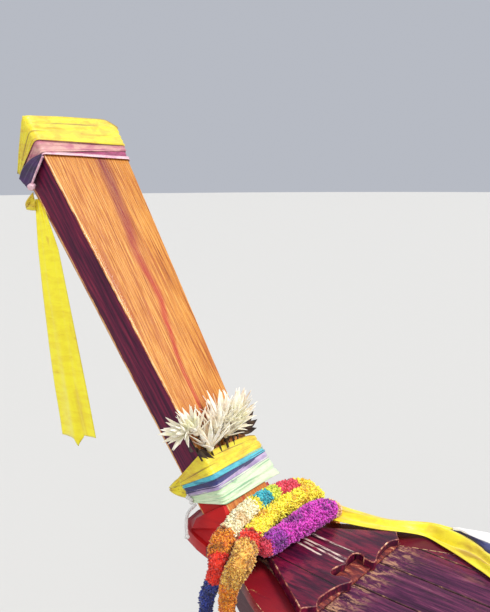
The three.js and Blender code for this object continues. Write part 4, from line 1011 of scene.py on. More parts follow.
def blossoms_on(line, start, end, seed):
    """Petal matrices round a strand, from start to end of its length; each
    point of the line carries the strand's radius."""
    step, reach, apart = 0.0052, 0.011, 0.0085
    chance = random.Random(seed)
    middles = [point.xyz for point in line]
    whole = sum((b - a).length for a, b in zip(middles, middles[1:]))
    made = []
    for k in range(int((end - start) * whole / step) + 1):
        f = start + k * step / whole
        spot = f * (len(line) - 1)
        i = min(int(spot), len(line) - 2)
        radius = line[i].w + (line[i + 1].w - line[i].w) * (spot - i)
        edge = min(f, 1 - f) * whole
        cap = max(0, 1 - edge / radius)
        radius *= math.sqrt(max(0.05, 1 - cap ** 2))
        ring = max(7, round(2 * math.pi * radius / apart))
        for j in range(ring):
            here, way = strand_point(middles, min(1, max(0, f + chance.uniform(-0.5, 0.5) * step / whole)))
            angle = 2 * math.pi * (j + 0.5 * (k % 2)) / ring + chance.uniform(-0.2, 0.2)
            out = Matrix.Rotation(angle, 3, way) @ way.orthogonal().normalized()
            lean = chance.gauss(0, 0.4) + cap * (2.2 if f > 0.5 else -2.2)
            facing = (out + way * lean).normalized()
            long = reach * chance.uniform(0.8, 1.25)
            turn = turned_to(facing, chance.uniform(0, 2 * math.pi))
            base = here + out * (radius - reach) * chance.uniform(0.86, 1.02)
            made.append(Matrix.Translation(base) @ turn @ Matrix.Diagonal((long, long, long, 1)))
    return made


def blossom_cloth(name, light, middle, deep):
    finish = Finish(name, 0.78, sheen=0.35)
    speck = finish.noise(finish.place(), 95, 4, 0.7)
    patch = finish.noise(finish.place(), 22, 3)
    colour = finish.mix(finish.fade(speck, 0.38, 0.6), middle, light)
    colour = finish.mix(finish.fade(patch, 0.5, 0.66, 0, 0.75), colour, deep)
    finish.colour(colour)
    finish.relief(speck, 0.001)
    return finish


# Colours of each cloth: light, middle and deep, and its slot.
BLOSSOM_CLOTHS = {}
for name, slot, *colours in (
        ("gold", "gold", "#f7a81e", "#df6f0e", "#7a3408"),
        ("yellow", "yellow", "#fff84a", "#f8dc1c", "#e5960c"),
        ("cream", "cream", "#fff8da", "#f1e2a8", "#d6a860"),
        ("red", "red", "#f9421e", "#de1c10", "#8a0a0c"),
        ("rose", "red", "#f0506a", "#d8243e", "#8c0c2c"),
        ("amber", "gold", "#f8cf62", "#e39a34", "#8a4416"),
        ("violet", "pink", "#c23cc0", "#8c1a92", "#4c0a5c"),
        ("pink", "pink", "#ee48cc", "#bf1fae", "#6a0a78"),
        ("peach", "cream", "#fbd2a4", "#eeb06c", "#c47a34"),
        ("aqua", "blue", "#4ed0d6", "#1f9fb4", "#0f6c84"),
        ("lime", "yellow", "#f4f45a", "#dbe234", "#a9ba20"),
        ("blue", "blue", "#34459f", "#1d2266", "#0a0a30")):
    BLOSSOM_CLOTHS[name] = (blossom_cloth(name + " blossoms", *colours), "garland_" + slot)
# Strands from port to starboard: points in millimetres from the stem's foot
# with the strand's radius, then the colours and the points between which they lie.
# The lower strand stands for the solid of the tail and the tail for the lower one.
LINE_CELLS = 120
CORE_SHARE = 0.72
STRANDS = [
    ("upper", "garland_upper",
     [(-4, 290, -160, 22), (-8, 292, -94, 24), (-30, 292, -42, 26), (-45, 286, 4, 31), (-28, 262, 38, 33),
      (-23, 235, 57, 35), (-20, 195, 66, 37), (-6, 130, 76, 37), (4, 70, 84, 35), (8, 15, 88, 31),
      (10, -45, 88, 30), (10, -100, 84, 31), (8, -160, 74, 33), (0, -215, 62, 33), (-4, -258, 38, 32),
      (26, -292, -10, 30), (40, -300, -80, 28)],
     [("blue", 0, 2.2), ("red", 2.2, 3.7), ("gold", 3.7, 5.6), ("cream", 5.6, 8.2), ("yellow", 8.2, 8.7),
      ("aqua", 8.7, 9.8), ("lime", 9.8, 10.7), ("rose", 10.7, 12.4), ("yellow", 12.4, 15.2),
      ("gold", 15.2, 16)]),
    ("lower", "garland_tail",
     [(-78, 290, -165, 24), (-80, 292, -78, 27), (-86, 292, -40, 30), (-103, 290, 3, 34),
      (-116, 272, 38, 37), (-88, 214, 47, 37), (-62, 138, 52, 37), (-38, 64, 54, 35), (-27, -14, 54, 36),
      (-27, -91, 54, 36), (-31, -161, 54, 36), (-34, -221, 47, 34), (-40, -262, 20, 28)],
     [("gold", 0, 2.4), ("amber", 2.4, 5.0), ("red", 5.0, 5.7), ("yellow", 5.7, 12)]),
    ("tail", "garland_lower",
     [(-113, 178, 34, 28), (-116, 142, 35, 34), (-116, 102, 36, 36), (-116, 54, 36, 36), (-118, 9, 38, 40),
      (-118, -37, 38, 42), (-118, -81, 38, 43), (-119, -123, 38, 42), (-122, -162, 34, 38),
      (-118, -205, 20, 32), (-100, -255, -6, 30), (-66, -312, -48, 28), (-54, -330, -125, 26)],
     [("rose", 0, 0.7), ("violet", 0.7, 2.3), ("pink", 2.3, 8.5), ("peach", 8.5, 10), ("gold", 10, 12)]),
]
for name, node, points, parts in STRANDS:
    line = [Vector((*(STEM_FOOT + Vector(p[:3]) / 1000), p[3] / 1000)) for p in through(points, LINE_CELLS)]
    last = len(points) - 1
    by_colour = {}
    for k, (colour, start, end) in enumerate(parts):
        stretch = line[round(start / last * LINE_CELLS):round(end / last * LINE_CELLS) + 1]
        thick = [point.w * CORE_SHARE for point in stretch]
        thick[0] *= 0.5 if start == 0 else 1
        thick[-1] *= 0.5 if end == last else 1
        made = by_colour.setdefault(colour, [])
        made.append(tube([point.xyz for point in stretch], 1, sides=3,
                         taper=lambda f: thick[round(f * (len(thick) - 1))]))
        made.append(tufts(blossoms_on(line, start / last, end / last, 31 * k + len(name))))
    for k, (colour, made) in enumerate(by_colour.items()):
        finish, slot = BLOSSOM_CLOTHS[colour]
        settle(merged(made), f"garland_{name}_{colour}", "hull", slot, finish, replaces=() if k else [node])


# Deck sash: one length of yellow satin laid along the starboard rail, bunched
# up at its outer edge and spread over the bow plate and foredeck inboard.
SASH_CREST = [(-0.060, -0.296, 0.012), (-0.094, -0.300, -0.004), (-0.169, -0.314, -0.016),
              (-0.245, -0.334, -0.027), (-0.305, -0.371, -0.033), (-0.362, -0.415, -0.040),
              (-0.409, -0.430, -0.045), (-0.457, -0.434, -0.050), (-0.516, -0.407, -0.057),
              (-0.577, -0.362, -0.063), (-0.660, -0.325, -0.070), (-0.760, -0.285, -0.080)]
SASH_INNER = [(-0.080, -0.192, -0.004), (-0.122, -0.201, -0.014), (-0.195, -0.224, -0.022),
              (-0.263, -0.250, -0.028), (-0.325, -0.300, -0.040), (-0.368, -0.362, -0.066),
              (-0.435, -0.343, -0.073), (-0.498, -0.320, -0.080), (-0.554, -0.295, -0.086),
              (-0.605, -0.270, -0.091), (-0.680, -0.225, -0.100), (-0.760, -0.165, -0.108)]
SASH_OVER = 0.2
sash_crest, sash_inner = through(SASH_CREST, 100), through(SASH_INNER, 100)


def deck_sash_spot(u, v):
    """v runs aft along the rail, u from the rail's outer edge to the deck."""
    crest, inner = strand_point(sash_crest, v)[0], strand_point(sash_inner, v)[0]
    if u < SASH_OVER:
        return STEM_FOOT + crest + Vector((0, -0.012, -0.026)) * (1 - u / SASH_OVER)
    w = (u - SASH_OVER) / (1 - SASH_OVER)
    at = crest.lerp(inner, w)
    belly = 0.010 * math.sin(math.pi * w) * math.sin(math.pi * min(1, w + 0.25))
    pleat = 0.0035 * math.sin(2 * math.pi * (2.6 * w + 0.6 * v)) * math.sin(math.pi * w)
    wave = 0.003 * noise.noise(Vector((w * 4, v * 9, 1.7))) * math.sin(math.pi * w)
    wave -= 0.016 * math.exp(-((w - 0.68 + 0.5 * (v - 0.55)) / 0.09) ** 2 - ((v - 0.55) / 0.14) ** 2)
    return STEM_FOOT + at + Vector((0, 0, belly + pleat + wave + 0.002))


hung(woven(deck_sash_spot, 40, 150), 0.13, "deck_sash_cloth", "yellow_cloth", deck_yellow,
     "deck_sash")


# White and navy cloths: two narrow lengths laid on the starboard rail outboard
# of the sash, the white one folded down over the rail's edge.
RAIL_CLOTH_OUTER = [(-0.432, -0.425, -0.042), (-0.457, -0.428, -0.038), (-0.494, -0.442, -0.040),
                    (-0.540, -0.464, -0.046), (-0.585, -0.470, -0.053), (-0.680, -0.470, -0.063),
                    (-0.780, -0.480, -0.074)]
RAIL_CLOTH_FOLD = [(-0.440, -0.412, -0.044), (-0.464, -0.412, -0.041), (-0.500, -0.403, -0.043),
                   (-0.534, -0.402, -0.047), (-0.562, -0.401, -0.050), (-0.680, -0.395, -0.062),
                   (-0.780, -0.390, -0.073)]
RAIL_CLOTH_INNER = [(-0.452, -0.414, -0.052), (-0.480, -0.412, -0.055), (-0.516, -0.396, -0.060),
                    (-0.551, -0.372, -0.063), (-0.577, -0.350, -0.066), (-0.680, -0.310, -0.075),
                    (-0.780, -0.280, -0.084)]
white_satin = satin("white satin", "#fbf8f0", "#ece6e0", "#b3a6b4", folds=(3, 2, 1))


def rail_strip(outer_line, inner_line, hem):
    """Cloth between two lines of points, that goes hem metres down past the first."""
    outer_line, inner_line = through(outer_line, 60), through(inner_line, 60)

    def spot(u, v):
        outer, inner = strand_point(outer_line, v)[0], strand_point(inner_line, v)[0]
        if u < 0.25:
            return STEM_FOOT + outer - Vector((0, 0, hem * (1 - u / 0.25)))
        w = (u - 0.25) / 0.75
        ripple = 0.003 * noise.noise(Vector((w * 3, v * 8, 5.2)))
        return STEM_FOOT + outer.lerp(inner, w) + Vector((0, 0, (0.006 + ripple) * math.sin(math.pi * w)))

    return woven(spot, 16, 60)


for name, finish, width, outer, inner, hem in (
        ("white", white_satin, 0.07, RAIL_CLOTH_OUTER, RAIL_CLOTH_FOLD, 0.022),
        ("navy", navy_satin, 0.05, RAIL_CLOTH_FOLD, RAIL_CLOTH_INNER, 0.002)):
    hung(rail_strip(outer, inner, hem), width, "rail_cloth_" + name, "band_cloth", finish)


# Inside of the hull: bare brown hardwood timbers, bulkheads, floorboards and
# the planks of the seats and stern deck, grey in the grain and worn pale.
def bare_wood(name, light, middle, dark, along, rough=0.7):
    """Bare boards whose grain runs along the axis with the small stretch."""
    finish = Finish(name, rough, shine=0.25)
    grain = finish.noise(finish.place(along), 6, 8, 0.68, 0.35)
    stain = finish.noise(finish.place((0.6, 2, 2)), 3, 5, 0.6)
    colour = finish.ramp(grain, (0.32, dark), (0.5, middle), (0.7, light))
    finish.colour(finish.mix(finish.fade(stain, 0.5, 0.68, 0, 0.5), colour, dark))
    finish.feed("Roughness", finish.fade(grain, 0.3, 0.7, rough + 0.1, rough - 0.1))
    finish.relief(grain, 0.0015)
    return finish


fore_aft_wood = bare_wood("boards fore and aft", "#c39a6c", "#93653f", "#4c3222", (0.8, 14, 14))
athwart_wood = bare_wood("boards athwart", "#c8a074", "#986a43", "#503624", (14, 0.8, 14))
upright_wood = bare_wood("boards upright", "#b28658", "#845735", "#432b1c", (14, 14, 0.8))
wood_edge = bare_wood("worn board edges", "#e0bf94", "#b98c5e", "#7a5535", (6, 6, 6))
BOARD_WIDE = 0.17
for node, half, finish in (("fore_bulkhead", 0.7, upright_wood), ("stern_bulkhead", 0.7, upright_wood),
                           ("floorboards", 0.45, fore_aft_wood), ("stern_deck", 0.72, fore_aft_wood)):
    settle(boards(node, 1, spaced(-half, half, BOARD_WIDE)), node + "_boards", "hull", "inner_wood", finish,
           wood_edge, replaces=[node])
dressed("floor_timbers", "floor_timbers_worn", "inner_wood", athwart_wood, wood_edge, ease=0.004)
for node in (f"side_timbers_{end}_{side}" for end in ("aft", "fore") for side in ("port", "starboard")):
    dressed(node, node + "_worn", "inner_wood", upright_wood, wood_edge, ease=0.004)


NAIL_RADIUS = 0.006
NAIL_OUT = 0.655
FLOOR_TOP = -0.0095
TIMBER_FIRST, TIMBER_STEP = -2.89, 0.61
nail = Finish("nail heads", 0.5, metal=0.7)
nail_rust = nail.noise(nail.place(), 60, 4)
nail.colour(nail.mix(nail.fade(nail_rust, 0.4, 0.6), "#5a4434", "#8c7660"))
SEAT_PLACES = [-1.90, -0.75, 0.40, 1.55]
SEAT_TOP = 0.33
nails = []
for k, x in enumerate(SEAT_PLACES):
    seat = f"seat_{k + 1}"
    settle(boards(seat, 0, [x], seam=0.002, ease=0.005, segments=3), seat + "_planks", "hull", "inner_wood",
           athwart_wood, wood_edge, replaces=[seat])
    nails += [(x + dx, side * NAIL_OUT, SEAT_TOP + 0.0005) for dx in (-0.09, -0.04, 0.04, 0.09)
              for side in (-1, 1)]
for k in range(9):
    nails += [(TIMBER_FIRST + TIMBER_STEP * k + dx, y, FLOOR_TOP) for y in (-0.22, -0.07, 0.07, 0.22)
              for dx in (-0.012, 0.012)]
heads = []
for spot in nails:
    bpy.ops.mesh.primitive_uv_sphere_add(segments=8, ring_count=4, radius=NAIL_RADIUS, location=spot)
    bpy.ops.transform.resize(value=(1, 1, 0.3))
    heads.append(bpy.context.object)
settle(merged(heads), "nail_heads", "hull", "iron", nail)


# Canopy: two side rails, five bent bows and six posts on the rails, square
# wood painted cream, lashed with cord where the posts meet the side rails.
cream_paint = painted("cream frame paint", "#e6dfcb", "#cfc6ae", "#8a6a48", 0.68, rough=0.5, along=(1, 6, 6))
cream_worn = painted("cream paint worn", "#d8cdb2", "#b9a986", "#7d5c3c", 0.52, rough=0.6)
dressed("canopy_frame", "canopy_bars", "frame_paint", cream_paint, cream_worn)
CANOPY_POSTS = [-2.20, -0.25, 1.70]
CANOPY_HALF = 0.868
LASH_HIGH, LASH_TURNS, LASH_STEP = 1.548, 5, 0.0068
lashings = []
for x in CANOPY_POSTS:
    for side in (-1, 1):
        for k in range(LASH_TURNS):
            bpy.ops.mesh.primitive_torus_add(major_segments=28, minor_segments=8, major_radius=0.0365,
                                             minor_radius=0.0035,
                                             location=(x, side * CANOPY_HALF, LASH_HIGH - LASH_STEP * k),
                                             rotation=(0.05 * (k % 2), 0.06 * (1 - k % 2), 0.4 * k))
            lashings.append(bpy.context.object)
        bpy.ops.mesh.primitive_ico_sphere_add(subdivisions=3, radius=0.009,
                                              location=(x + 0.02, side * (CANOPY_HALF - 0.034), 1.532))
        lashings.append(bpy.context.object)
settle(merged(lashings), "canopy_lashings", "hull", "cord", cotton)

# Canopy sheet: one length of blue coated tarpaulin drawn over the bows, its
# edges folded down outside the side rails, with brass eyelets and short ties.
CANOPY_ENDS = (-2.328, 1.828)
CANOPY_RISE = 0.11
CANOPY_EAVE = 1.62
BOWS = [-2.30, -1.30, -0.25, 0.80, 1.80]
ROOF_ARC = 0.905
SKIRT = 0.12
EYELET_STEP = 0.32
SHEET_SEAM = 0.31

tarpaulin = Finish("blue tarpaulin", 0.55, sheen=0.1, shine=0.35)
across = tarpaulin.step("TexWave", {"Vector": tarpaulin.place(), "Scale": 150.0}, bands_direction="X")
along = tarpaulin.step("TexWave", {"Vector": tarpaulin.place(), "Scale": 150.0}, bands_direction="Y")
cross = tarpaulin.sum("ADD", across, along)
faded = tarpaulin.noise(tarpaulin.place((1, 2, 2)), 1.6, 5)
grime = tarpaulin.noise(tarpaulin.place(), 5, 7, 0.68)
blue = tarpaulin.mix(tarpaulin.fade(faded, 0.4, 0.62), "#2586b6", "#2f8fbd")
blue = tarpaulin.mix(tarpaulin.fade(grime, 0.55, 0.75, 0, 0.22), blue, "#4f7c8a")
aside = tarpaulin.sum("ABSOLUTE", tarpaulin.parts(tarpaulin.place())["Y"])
joined = tarpaulin.sum("ABSOLUTE", tarpaulin.sum("SUBTRACT", aside, SHEET_SEAM))
sewn = tarpaulin.fade(joined, 0.001, 0.012, 0.4, 0)
blue = tarpaulin.mix(sewn, blue, "#14557f")
blue = tarpaulin.mix(tarpaulin.fade(cross, 0.5, 1.6, 0.16, 0), blue, "#0d4f7c")
tarpaulin.colour(blue)
tarpaulin.relief(cross, 0.0003)
tarpaulin.relief(grime, 0.001)
tarpaulin.relief(sewn, 0.003)


def roof_spot(u, v):
    """u runs fore and aft, v from the port skirt over the crown to starboard."""
    x = CANOPY_ENDS[0] + (CANOPY_ENDS[1] - CANOPY_ENDS[0]) * u
    side = 1 if v < 0.5 else -1
    far = abs(2 * v - 1) * (ROOF_ARC + SKIRT)
    gap = next((b, c) for b, c in zip([-2.4, *BOWS], [*BOWS, 1.9]) if b <= x <= c)
    sag = math.sin(math.pi * (x - gap[0]) / (gap[1] - gap[0])) ** 2
    wrinkle = noise.noise(Vector((x * 3.1, far * side * 2.3, 0.7)))
    if far < ROOF_ARC:
        y = far / ROOF_ARC * 0.895
        low = CANOPY_EAVE + CANOPY_RISE * (1 - (y / CANOPY_HALF) ** 2) + 0.004
        dip = sag * (0.004 + 0.030 * (1 - (y / 0.9) ** 4))
        pull = 0.007 * ridged(x * 1.7, y * side * 0.6, 3.3) * (0.3 + 0.7 * sag)
        pull += 0.004 * ridged(x * 5.2, y * side * 1.4, 6.1) * (y / 0.9) ** 2 * sag
        return Vector((x, side * y, low - dip + 0.004 * wrinkle * sag + max(0, pull)))
    down = far - ROOF_ARC
    tied = math.cos(2 * math.pi * x / EYELET_STEP)
    out = 0.897 + 0.006 * min(1, down / 0.02) + 0.004 * (1 - tied) * down / SKIRT + 0.003 * wrinkle * sag
    return Vector((x, side * out, CANOPY_EAVE - 0.008 - down * 0.93 - 0.006 * (1 - tied) * down / SKIRT))


hung(woven(roof_spot, 200, 110, thick=0.0016), 2.05, "canopy_tarpaulin", "tarpaulin", tarpaulin,
     "canopy_sheet")
brass = Finish("dull brass", 0.4, metal=1.0)
brass_tone = brass.noise(brass.place(), 40, 5)
brass.colour(brass.mix(brass.fade(brass_tone, 0.35, 0.65), "#b88f4e", "#7d5d31"))
brass.relief(brass_tone, 0.0004)
eyelets, ties = [], []
for k in range(-7, 6):
    x = EYELET_STEP * k
    for side in (-1, 1):
        spot = roof_spot((x - CANOPY_ENDS[0]) / (CANOPY_ENDS[1] - CANOPY_ENDS[0]), 0.5 - side * 0.488)
        bpy.ops.mesh.primitive_torus_add(major_segments=20, minor_segments=8, major_radius=0.009,
                                         minor_radius=0.0026, location=spot, rotation=(math.pi / 2, 0, 0))
        eyelets.append(bpy.context.object)
        rail = Vector((x, side * (CANOPY_HALF + 0.02), 1.574))
        ties.append(tube([spot, spot.lerp(rail, 0.5) - Vector((0, 0, 0.004)), rail], 0.0022, sides=2))
settle(merged(eyelets), "canopy_eyelets", "hull", "steel", brass)
settle(merged(ties), "canopy_ties", "hull", "cord", cotton)


# Engine stand: a square timber post bolted to the stern deck, with an iron
# yoke that turns on top of it and holds the engine frame's two pins.
STERN_TOP = 0.69
PIVOT = Vector((-4.5, 0, 1.15))
PIN_HIGH = 0.96
UPWARD = (0, 0, 1)


def turned(at, way, profile, sides=14):
    """A lathed piece along a direction, by distances along it and radii."""
    way = Vector(way).normalized()
    radii = [radius for _, radius in profile]
    line = [Vector(at) + way * far for far, _ in profile]
    piece = tube(line, 1, taper=lambda f: radii[round(f * (len(radii) - 1))], sides=sides)
    bpy.ops.object.shade_smooth_by_angle(angle=SMOOTH_TO)
    return piece


def block(x, y, z, ease=0.003, segments=2):
    """A box with rounded edges between two values on each axis."""
    bpy.ops.mesh.primitive_cube_add(size=1, location=[sum(pair) / 2 for pair in (x, y, z)])
    bpy.ops.transform.resize(value=[pair[1] - pair[0] for pair in (x, y, z)])
    bpy.ops.object.transform_apply(location=True, rotation=True, scale=True)
    return eased(bpy.context.object, ease, segments)


def circle_of(x, radius, high, angles):
    """Places on a circle round a fore-and-aft line at that height."""
    return [(x, radius * math.cos(a), high + radius * math.sin(a)) for a in angles]


def spun(angles, make, at, axis="Z"):
    """Like small pieces turned by the angles round an axis through a place."""
    return [moved(make(), Matrix.Translation(at) @ Matrix.Rotation(angle, 4, axis)) for angle in angles]


def bolts(spots, way, radius, tall=0.007):
    """Hexagon heads on washers, standing on the spots along a direction."""
    made = []
    turn = turned_to(way).to_euler()
    for spot in spots:
        for sides, wide, high in ((16, 1.5, 0.25), (6, 1.0, 1.0)):
            bpy.ops.mesh.primitive_cylinder_add(vertices=sides, radius=radius * wide, depth=tall * high,
                                                location=Vector(spot) + Vector(way) * tall * high / 2,
                                                rotation=turn)
            made.append(bpy.context.object)
    return merged(made)


def rusty(name, base, dark, rust, amount, rough=0.6, metal=0.7):
    """Worn iron or steel: mottled, with rust that gathers in patches."""
    finish = Finish(name, rough, metal=metal, shine=0.4)
    tone = finish.noise(finish.place(), 18, 6, 0.65)
    patch = finish.noise(finish.place(), 7, 8, 0.75)
    colour = finish.mix(finish.fade(tone, 0.35, 0.65), base, dark)
    rusted = finish.fade(patch, amount, amount + 0.12)
    finish.colour(finish.mix(rusted, colour, rust))
    finish.feed("Metallic", finish.fade(rusted, 0, 1, metal, 0.05))
    finish.feed("Roughness", finish.fade(rusted, 0, 1, rough, 0.9))
    finish.relief(tone, 0.0006)
    finish.relief(patch, 0.0008)
    return finish


iron = rusty("painted iron", "#3b3d40", "#232427", "#7c4322", 0.56, metal=0.4)
iron_edge = rusty("bare iron edges", "#6a6763", "#4a4441", "#8a4c26", 0.5, rough=0.5)
steel = rusty("worn steel", "#a3a5a6", "#76797b", "#8b5a38", 0.64, rough=0.38, metal=0.9)
steel_edge = rusty("bright steel edges", "#c3c4c4", "#94979a", "#8b5a38", 0.68, rough=0.3, metal=0.95)
dressed("engine_post", "engine_post_timber", "inner_wood", upright_wood, wood_edge)
feet = [(PIVOT.x + sx * 0.12, sy * 0.12, STERN_TOP + 0.0405) for sx in (-1, 1) for sy in (-1, 1)]
settle(bolts(feet, UPWARD, 0.012, 0.009), "engine_post_bolts", "hull", "iron", iron_edge)
arms = eased(like("swivel_yoke"), 0.003, segments=2, angle=40, worn=1)
pin_head = turned((PIVOT.x, 0, PIN_HIGH + 0.026), UPWARD,
                  [(0, 0.03), (0.004, 0.03), (0.0044, 0.02), (0.02, 0.02), (0.023, 0.012)])
arm_bolts = [bolts([(PIVOT.x + dx, side * 0.2205, 1.03) for dx in (-0.03, 0.03)], (0, side, 0), 0.008)
             for side in (1, -1)]
settle(merged([arms, pin_head, *arm_bolts]), "swivel_yoke_iron", "yoke", "iron", iron, iron_edge,
       replaces=["swivel_yoke"])


# Fuel can: a dark moulded jerrycan with a carrying handle, a screw cap on a
# short neck and a sunk panel with a cross rib on each broad side.
CAN_X = (-4.08, -3.87)
CAN_Y = (0.33, 0.60)
NECK_Y = 0.562
moulded = Finish("moulded plastic", 0.45, shine=0.4)
scuffs = moulded.noise(moulded.place((1, 1, 4)), 16, 7, 0.72)
dust = moulded.noise(moulded.place(), 5, 5)
can_colour = moulded.mix(moulded.fade(dust, 0.4, 0.65), "#1b2430", "#333c46")
moulded.colour(moulded.mix(moulded.fade(scuffs, 0.6, 0.7, 0, 0.6), can_colour, "#6d747a"))
moulded.feed("Roughness", moulded.fade(scuffs, 0.4, 0.7, 0.4, 0.7))
moulded.relief(scuffs, 0.0005)
red_plastic = Finish("red cap", 0.45)
cap_tone = red_plastic.noise(red_plastic.place(), 30, 5)
red_plastic.colour(red_plastic.mix(cap_tone, "#a81c12", "#d6301f"))
can_low, can_high = STERN_TOP + 0.002, STERN_TOP + 0.245
can_middle = sum(CAN_X) / 2
body = block(CAN_X, CAN_Y, (can_low, can_high), 0.022, 4)
select_by(body, "FACE", lambda face: abs(face.normal.x) > 0.99 and face.area > 0.02)
bpy.ops.mesh.inset(thickness=0.02, depth=0, use_individual=True)
bpy.ops.mesh.inset(thickness=0.006, depth=-0.006, use_individual=True)
bpy.ops.object.mode_set(mode="OBJECT")
middle_y, middle_z = sum(CAN_Y) / 2, (can_low + can_high) / 2
ribs = [tube([(x, middle_y - dy, middle_z - 0.075), (x, middle_y + dy, middle_z + 0.075)], 0.0055, sides=3)
        for x in (CAN_X[0] + 0.005, CAN_X[1] - 0.005) for dy in (-0.085, 0.085)]
grip_line = [(can_middle, y, can_high + dz) for y, dz in
             ((0.372, -0.01), (0.38, 0.024), (0.41, 0.036), (0.45, 0.037), (0.49, 0.036), (0.515, 0.024),
              (0.52, -0.01))]
grip = tube(through(grip_line, 36), 0.012)
neck = turned((can_middle, NECK_Y, can_high - 0.01), UPWARD,
              [(0, 0.028), (0.016, 0.028), (0.0165, 0.024), (0.026, 0.024)])
settle(merged([body, *ribs, grip, neck]), "fuel_can", "hull", "plastic", moulded, replaces=["fuel_tank"])
cap_ribs = spun([k * math.pi / 10 for k in range(20)],
                lambda: block((-0.0015, 0.0015), (0.0255, 0.0285), (-0.010, 0.010), 0.0005, 1),
                (can_middle, NECK_Y, can_high + 0.030))
cap_top = turned((can_middle, NECK_Y, can_high + 0.016), UPWARD,
                 [(0, 0.026), (0.026, 0.026), (0.029, 0.022)])
settle(merged([cap_top, *cap_ribs]), "fuel_can_cap", "hull", "plastic", red_plastic)


# Battery: a black case with a stepped lid, filler caps along it, two lead
# posts with clamps and a folding strap for a handle.
BATTERY_X = (-4.06, -3.86)
BATTERY_Y = (-0.56, -0.30)
TERMINALS_Y = (-0.53, -0.33)


def of_case(grow_x, grow_y, low, high, ease, segments):
    """A block round the battery's middle, larger than its case by that much."""
    across = (BATTERY_Y[0] - grow_y, BATTERY_Y[1] + grow_y)
    along = (BATTERY_X[0] - grow_x, BATTERY_X[1] + grow_x)
    return block(along, across, (STERN_TOP + low, STERN_TOP + high), ease, segments)


case_layers = [of_case(0, 0, 0.001, 0.135, 0.006, 3), of_case(0.003, 0.003, 0.136, 0.160, 0.006, 3),
               of_case(-0.05, -0.02, 0.155, 0.172, 0.004, 2)]
case_ribs = [block((x - 0.003, x + 0.003), (BATTERY_Y[0] - 0.0025, BATTERY_Y[1] + 0.0025),
                   (STERN_TOP + 0.02, STERN_TOP + 0.12), 0.001, 1)
             for x in (-4.03, -3.995, -3.96, -3.925, -3.89)]
fillers = [turned((sum(BATTERY_X) / 2, BATTERY_Y[0] + 0.035 + 0.038 * k, STERN_TOP + 0.171), UPWARD,
                  [(0, 0.011), (0.005, 0.011), (0.007, 0.008)], sides=6) for k in range(6)]
strap = tube(through([(sum(BATTERY_X) / 2 + 0.06, y, STERN_TOP + z) for y, z in
                      ((-0.545, 0.158), (-0.52, 0.172), (-0.43, 0.176), (-0.34, 0.172),
                       (-0.315, 0.158))], 24),
             0.005, sides=3)
settle(merged([*case_layers, strap, *case_ribs, *fillers]), "battery_case", "hull", "plastic", moulded,
       replaces=["battery"])
terminals = [turned((BATTERY_X[0] + 0.028, y, STERN_TOP + 0.158), UPWARD,
                    [(0, 0.010), (0.02, 0.009), (0.022, 0.007)]) for y in TERMINALS_Y]
clamps = [block((BATTERY_X[0] + 0.012, BATTERY_X[0] + 0.046), (y - 0.015, y + 0.015),
                (STERN_TOP + 0.163, STERN_TOP + 0.174), 0.003) for y in TERMINALS_Y]
settle(merged([*terminals, *clamps]), "battery_terminals", "hull", "steel", steel)


# Engine frame: two square iron bars with cross bars and the tilt pins, which
# carry the engine in the yoke, worn bright where it is handled.
AFTWARD, FOREWARD = (-1, 0, 0), (1, 0, 0)
TILT = Matrix.Translation(PIVOT) @ Matrix.Rotation(-math.radians(20), 4, "Y")
CRANK_HIGH = 0.125
BLOCK_AFT, BLOCK_FORE = 0.08, 0.65


def on_engine(piece, name, slot, *finishes, replaces=(), body="engine"):
    """Tilts a piece made in the engine's own line to its place."""
    settle(moved(piece, TILT), name, body, slot, *finishes, replaces=replaces)


dressed("engine_frame", "engine_frame_bars", "iron", iron, iron_edge, ease=0.004, body="engine")
frame_bolts = [(x, side * 0.17, 0.0468) for x in (0.12, 0.26, 0.48, 0.61) for side in (-1, 1)]
pin_ends = [turned((0, side * 0.242, 0), (0, side, 0), [(0, 0.012), (0.004, 0.018), (0.006, 0.018)])
            for side in (-1, 1)]
on_engine(merged([bolts(frame_bolts, UPWARD, 0.010, 0.009), *pin_ends]), "engine_frame_bolts", "steel", steel)


# Engine block: cast iron, painted green, with its flywheel housing, ribs, core
# plugs, side cover and a spin-on oil filter.
green = painted("engine green", "#1f5a33", "#17402a", "#3a2b22", 0.62, rough=0.45, along=(4, 4, 4))
green_edge = painted("engine green worn", "#3a6b48", "#2a4a38", "#8c8478", 0.54, rough=0.5, along=(6, 6, 6))
dressed("engine_block", "engine_block_casting", "engine_paint", green, green_edge, body="engine")
block_ribs = [block((x - 0.006, x + 0.006), (side * 0.139 - 0.008, side * 0.139 + 0.008), (0.19, 0.29), 0.003)
              for x in (0.14, 0.24, 0.34, 0.44, 0.54) for side in (-1, 1)]
plugs = [turned((x, side * 0.139, 0.235), (0, side, 0),
                [(0, 0.020), (0.004, 0.020), (0.0045, 0.015), (0.006, 0.015)])
         for x in (0.19, 0.29, 0.39, 0.49) for side in (-1, 1)]
sump_lip = block((BLOCK_AFT + 0.024, BLOCK_FORE - 0.024), (-0.101, 0.101), (0.018, 0.028), 0.003)
housing_ring = turned((0.022, 0, CRANK_HIGH), AFTWARD,
                      [(0, 0.146), (0.006, 0.146), (0.009, 0.140), (0.0094, 0.118), (0.004, 0.112)], sides=22)
on_engine(merged([*block_ribs, *plugs, sump_lip, housing_ring]), "engine_block_ribs", "engine_paint", green)
filter_body = turned((0.52, -0.139, 0.12), (0, -1, 0),
                     [(0, 0.030), (0.004, 0.036), (0.070, 0.036), (0.074, 0.038), (0.080, 0.036),
                      (0.085, 0.028)])
on_engine(filter_body, "oil_filter", "plastic", moulded)
cover_bolts = bolts([(x, 0.1602, z) for x in (0.135, 0.28, 0.43, 0.585) for z in (0.12, 0.17)], (0, 1, 0),
                    0.006, 0.005)
ring_angles = [math.pi * (k + 0.5) / 5 for k in range(10)]
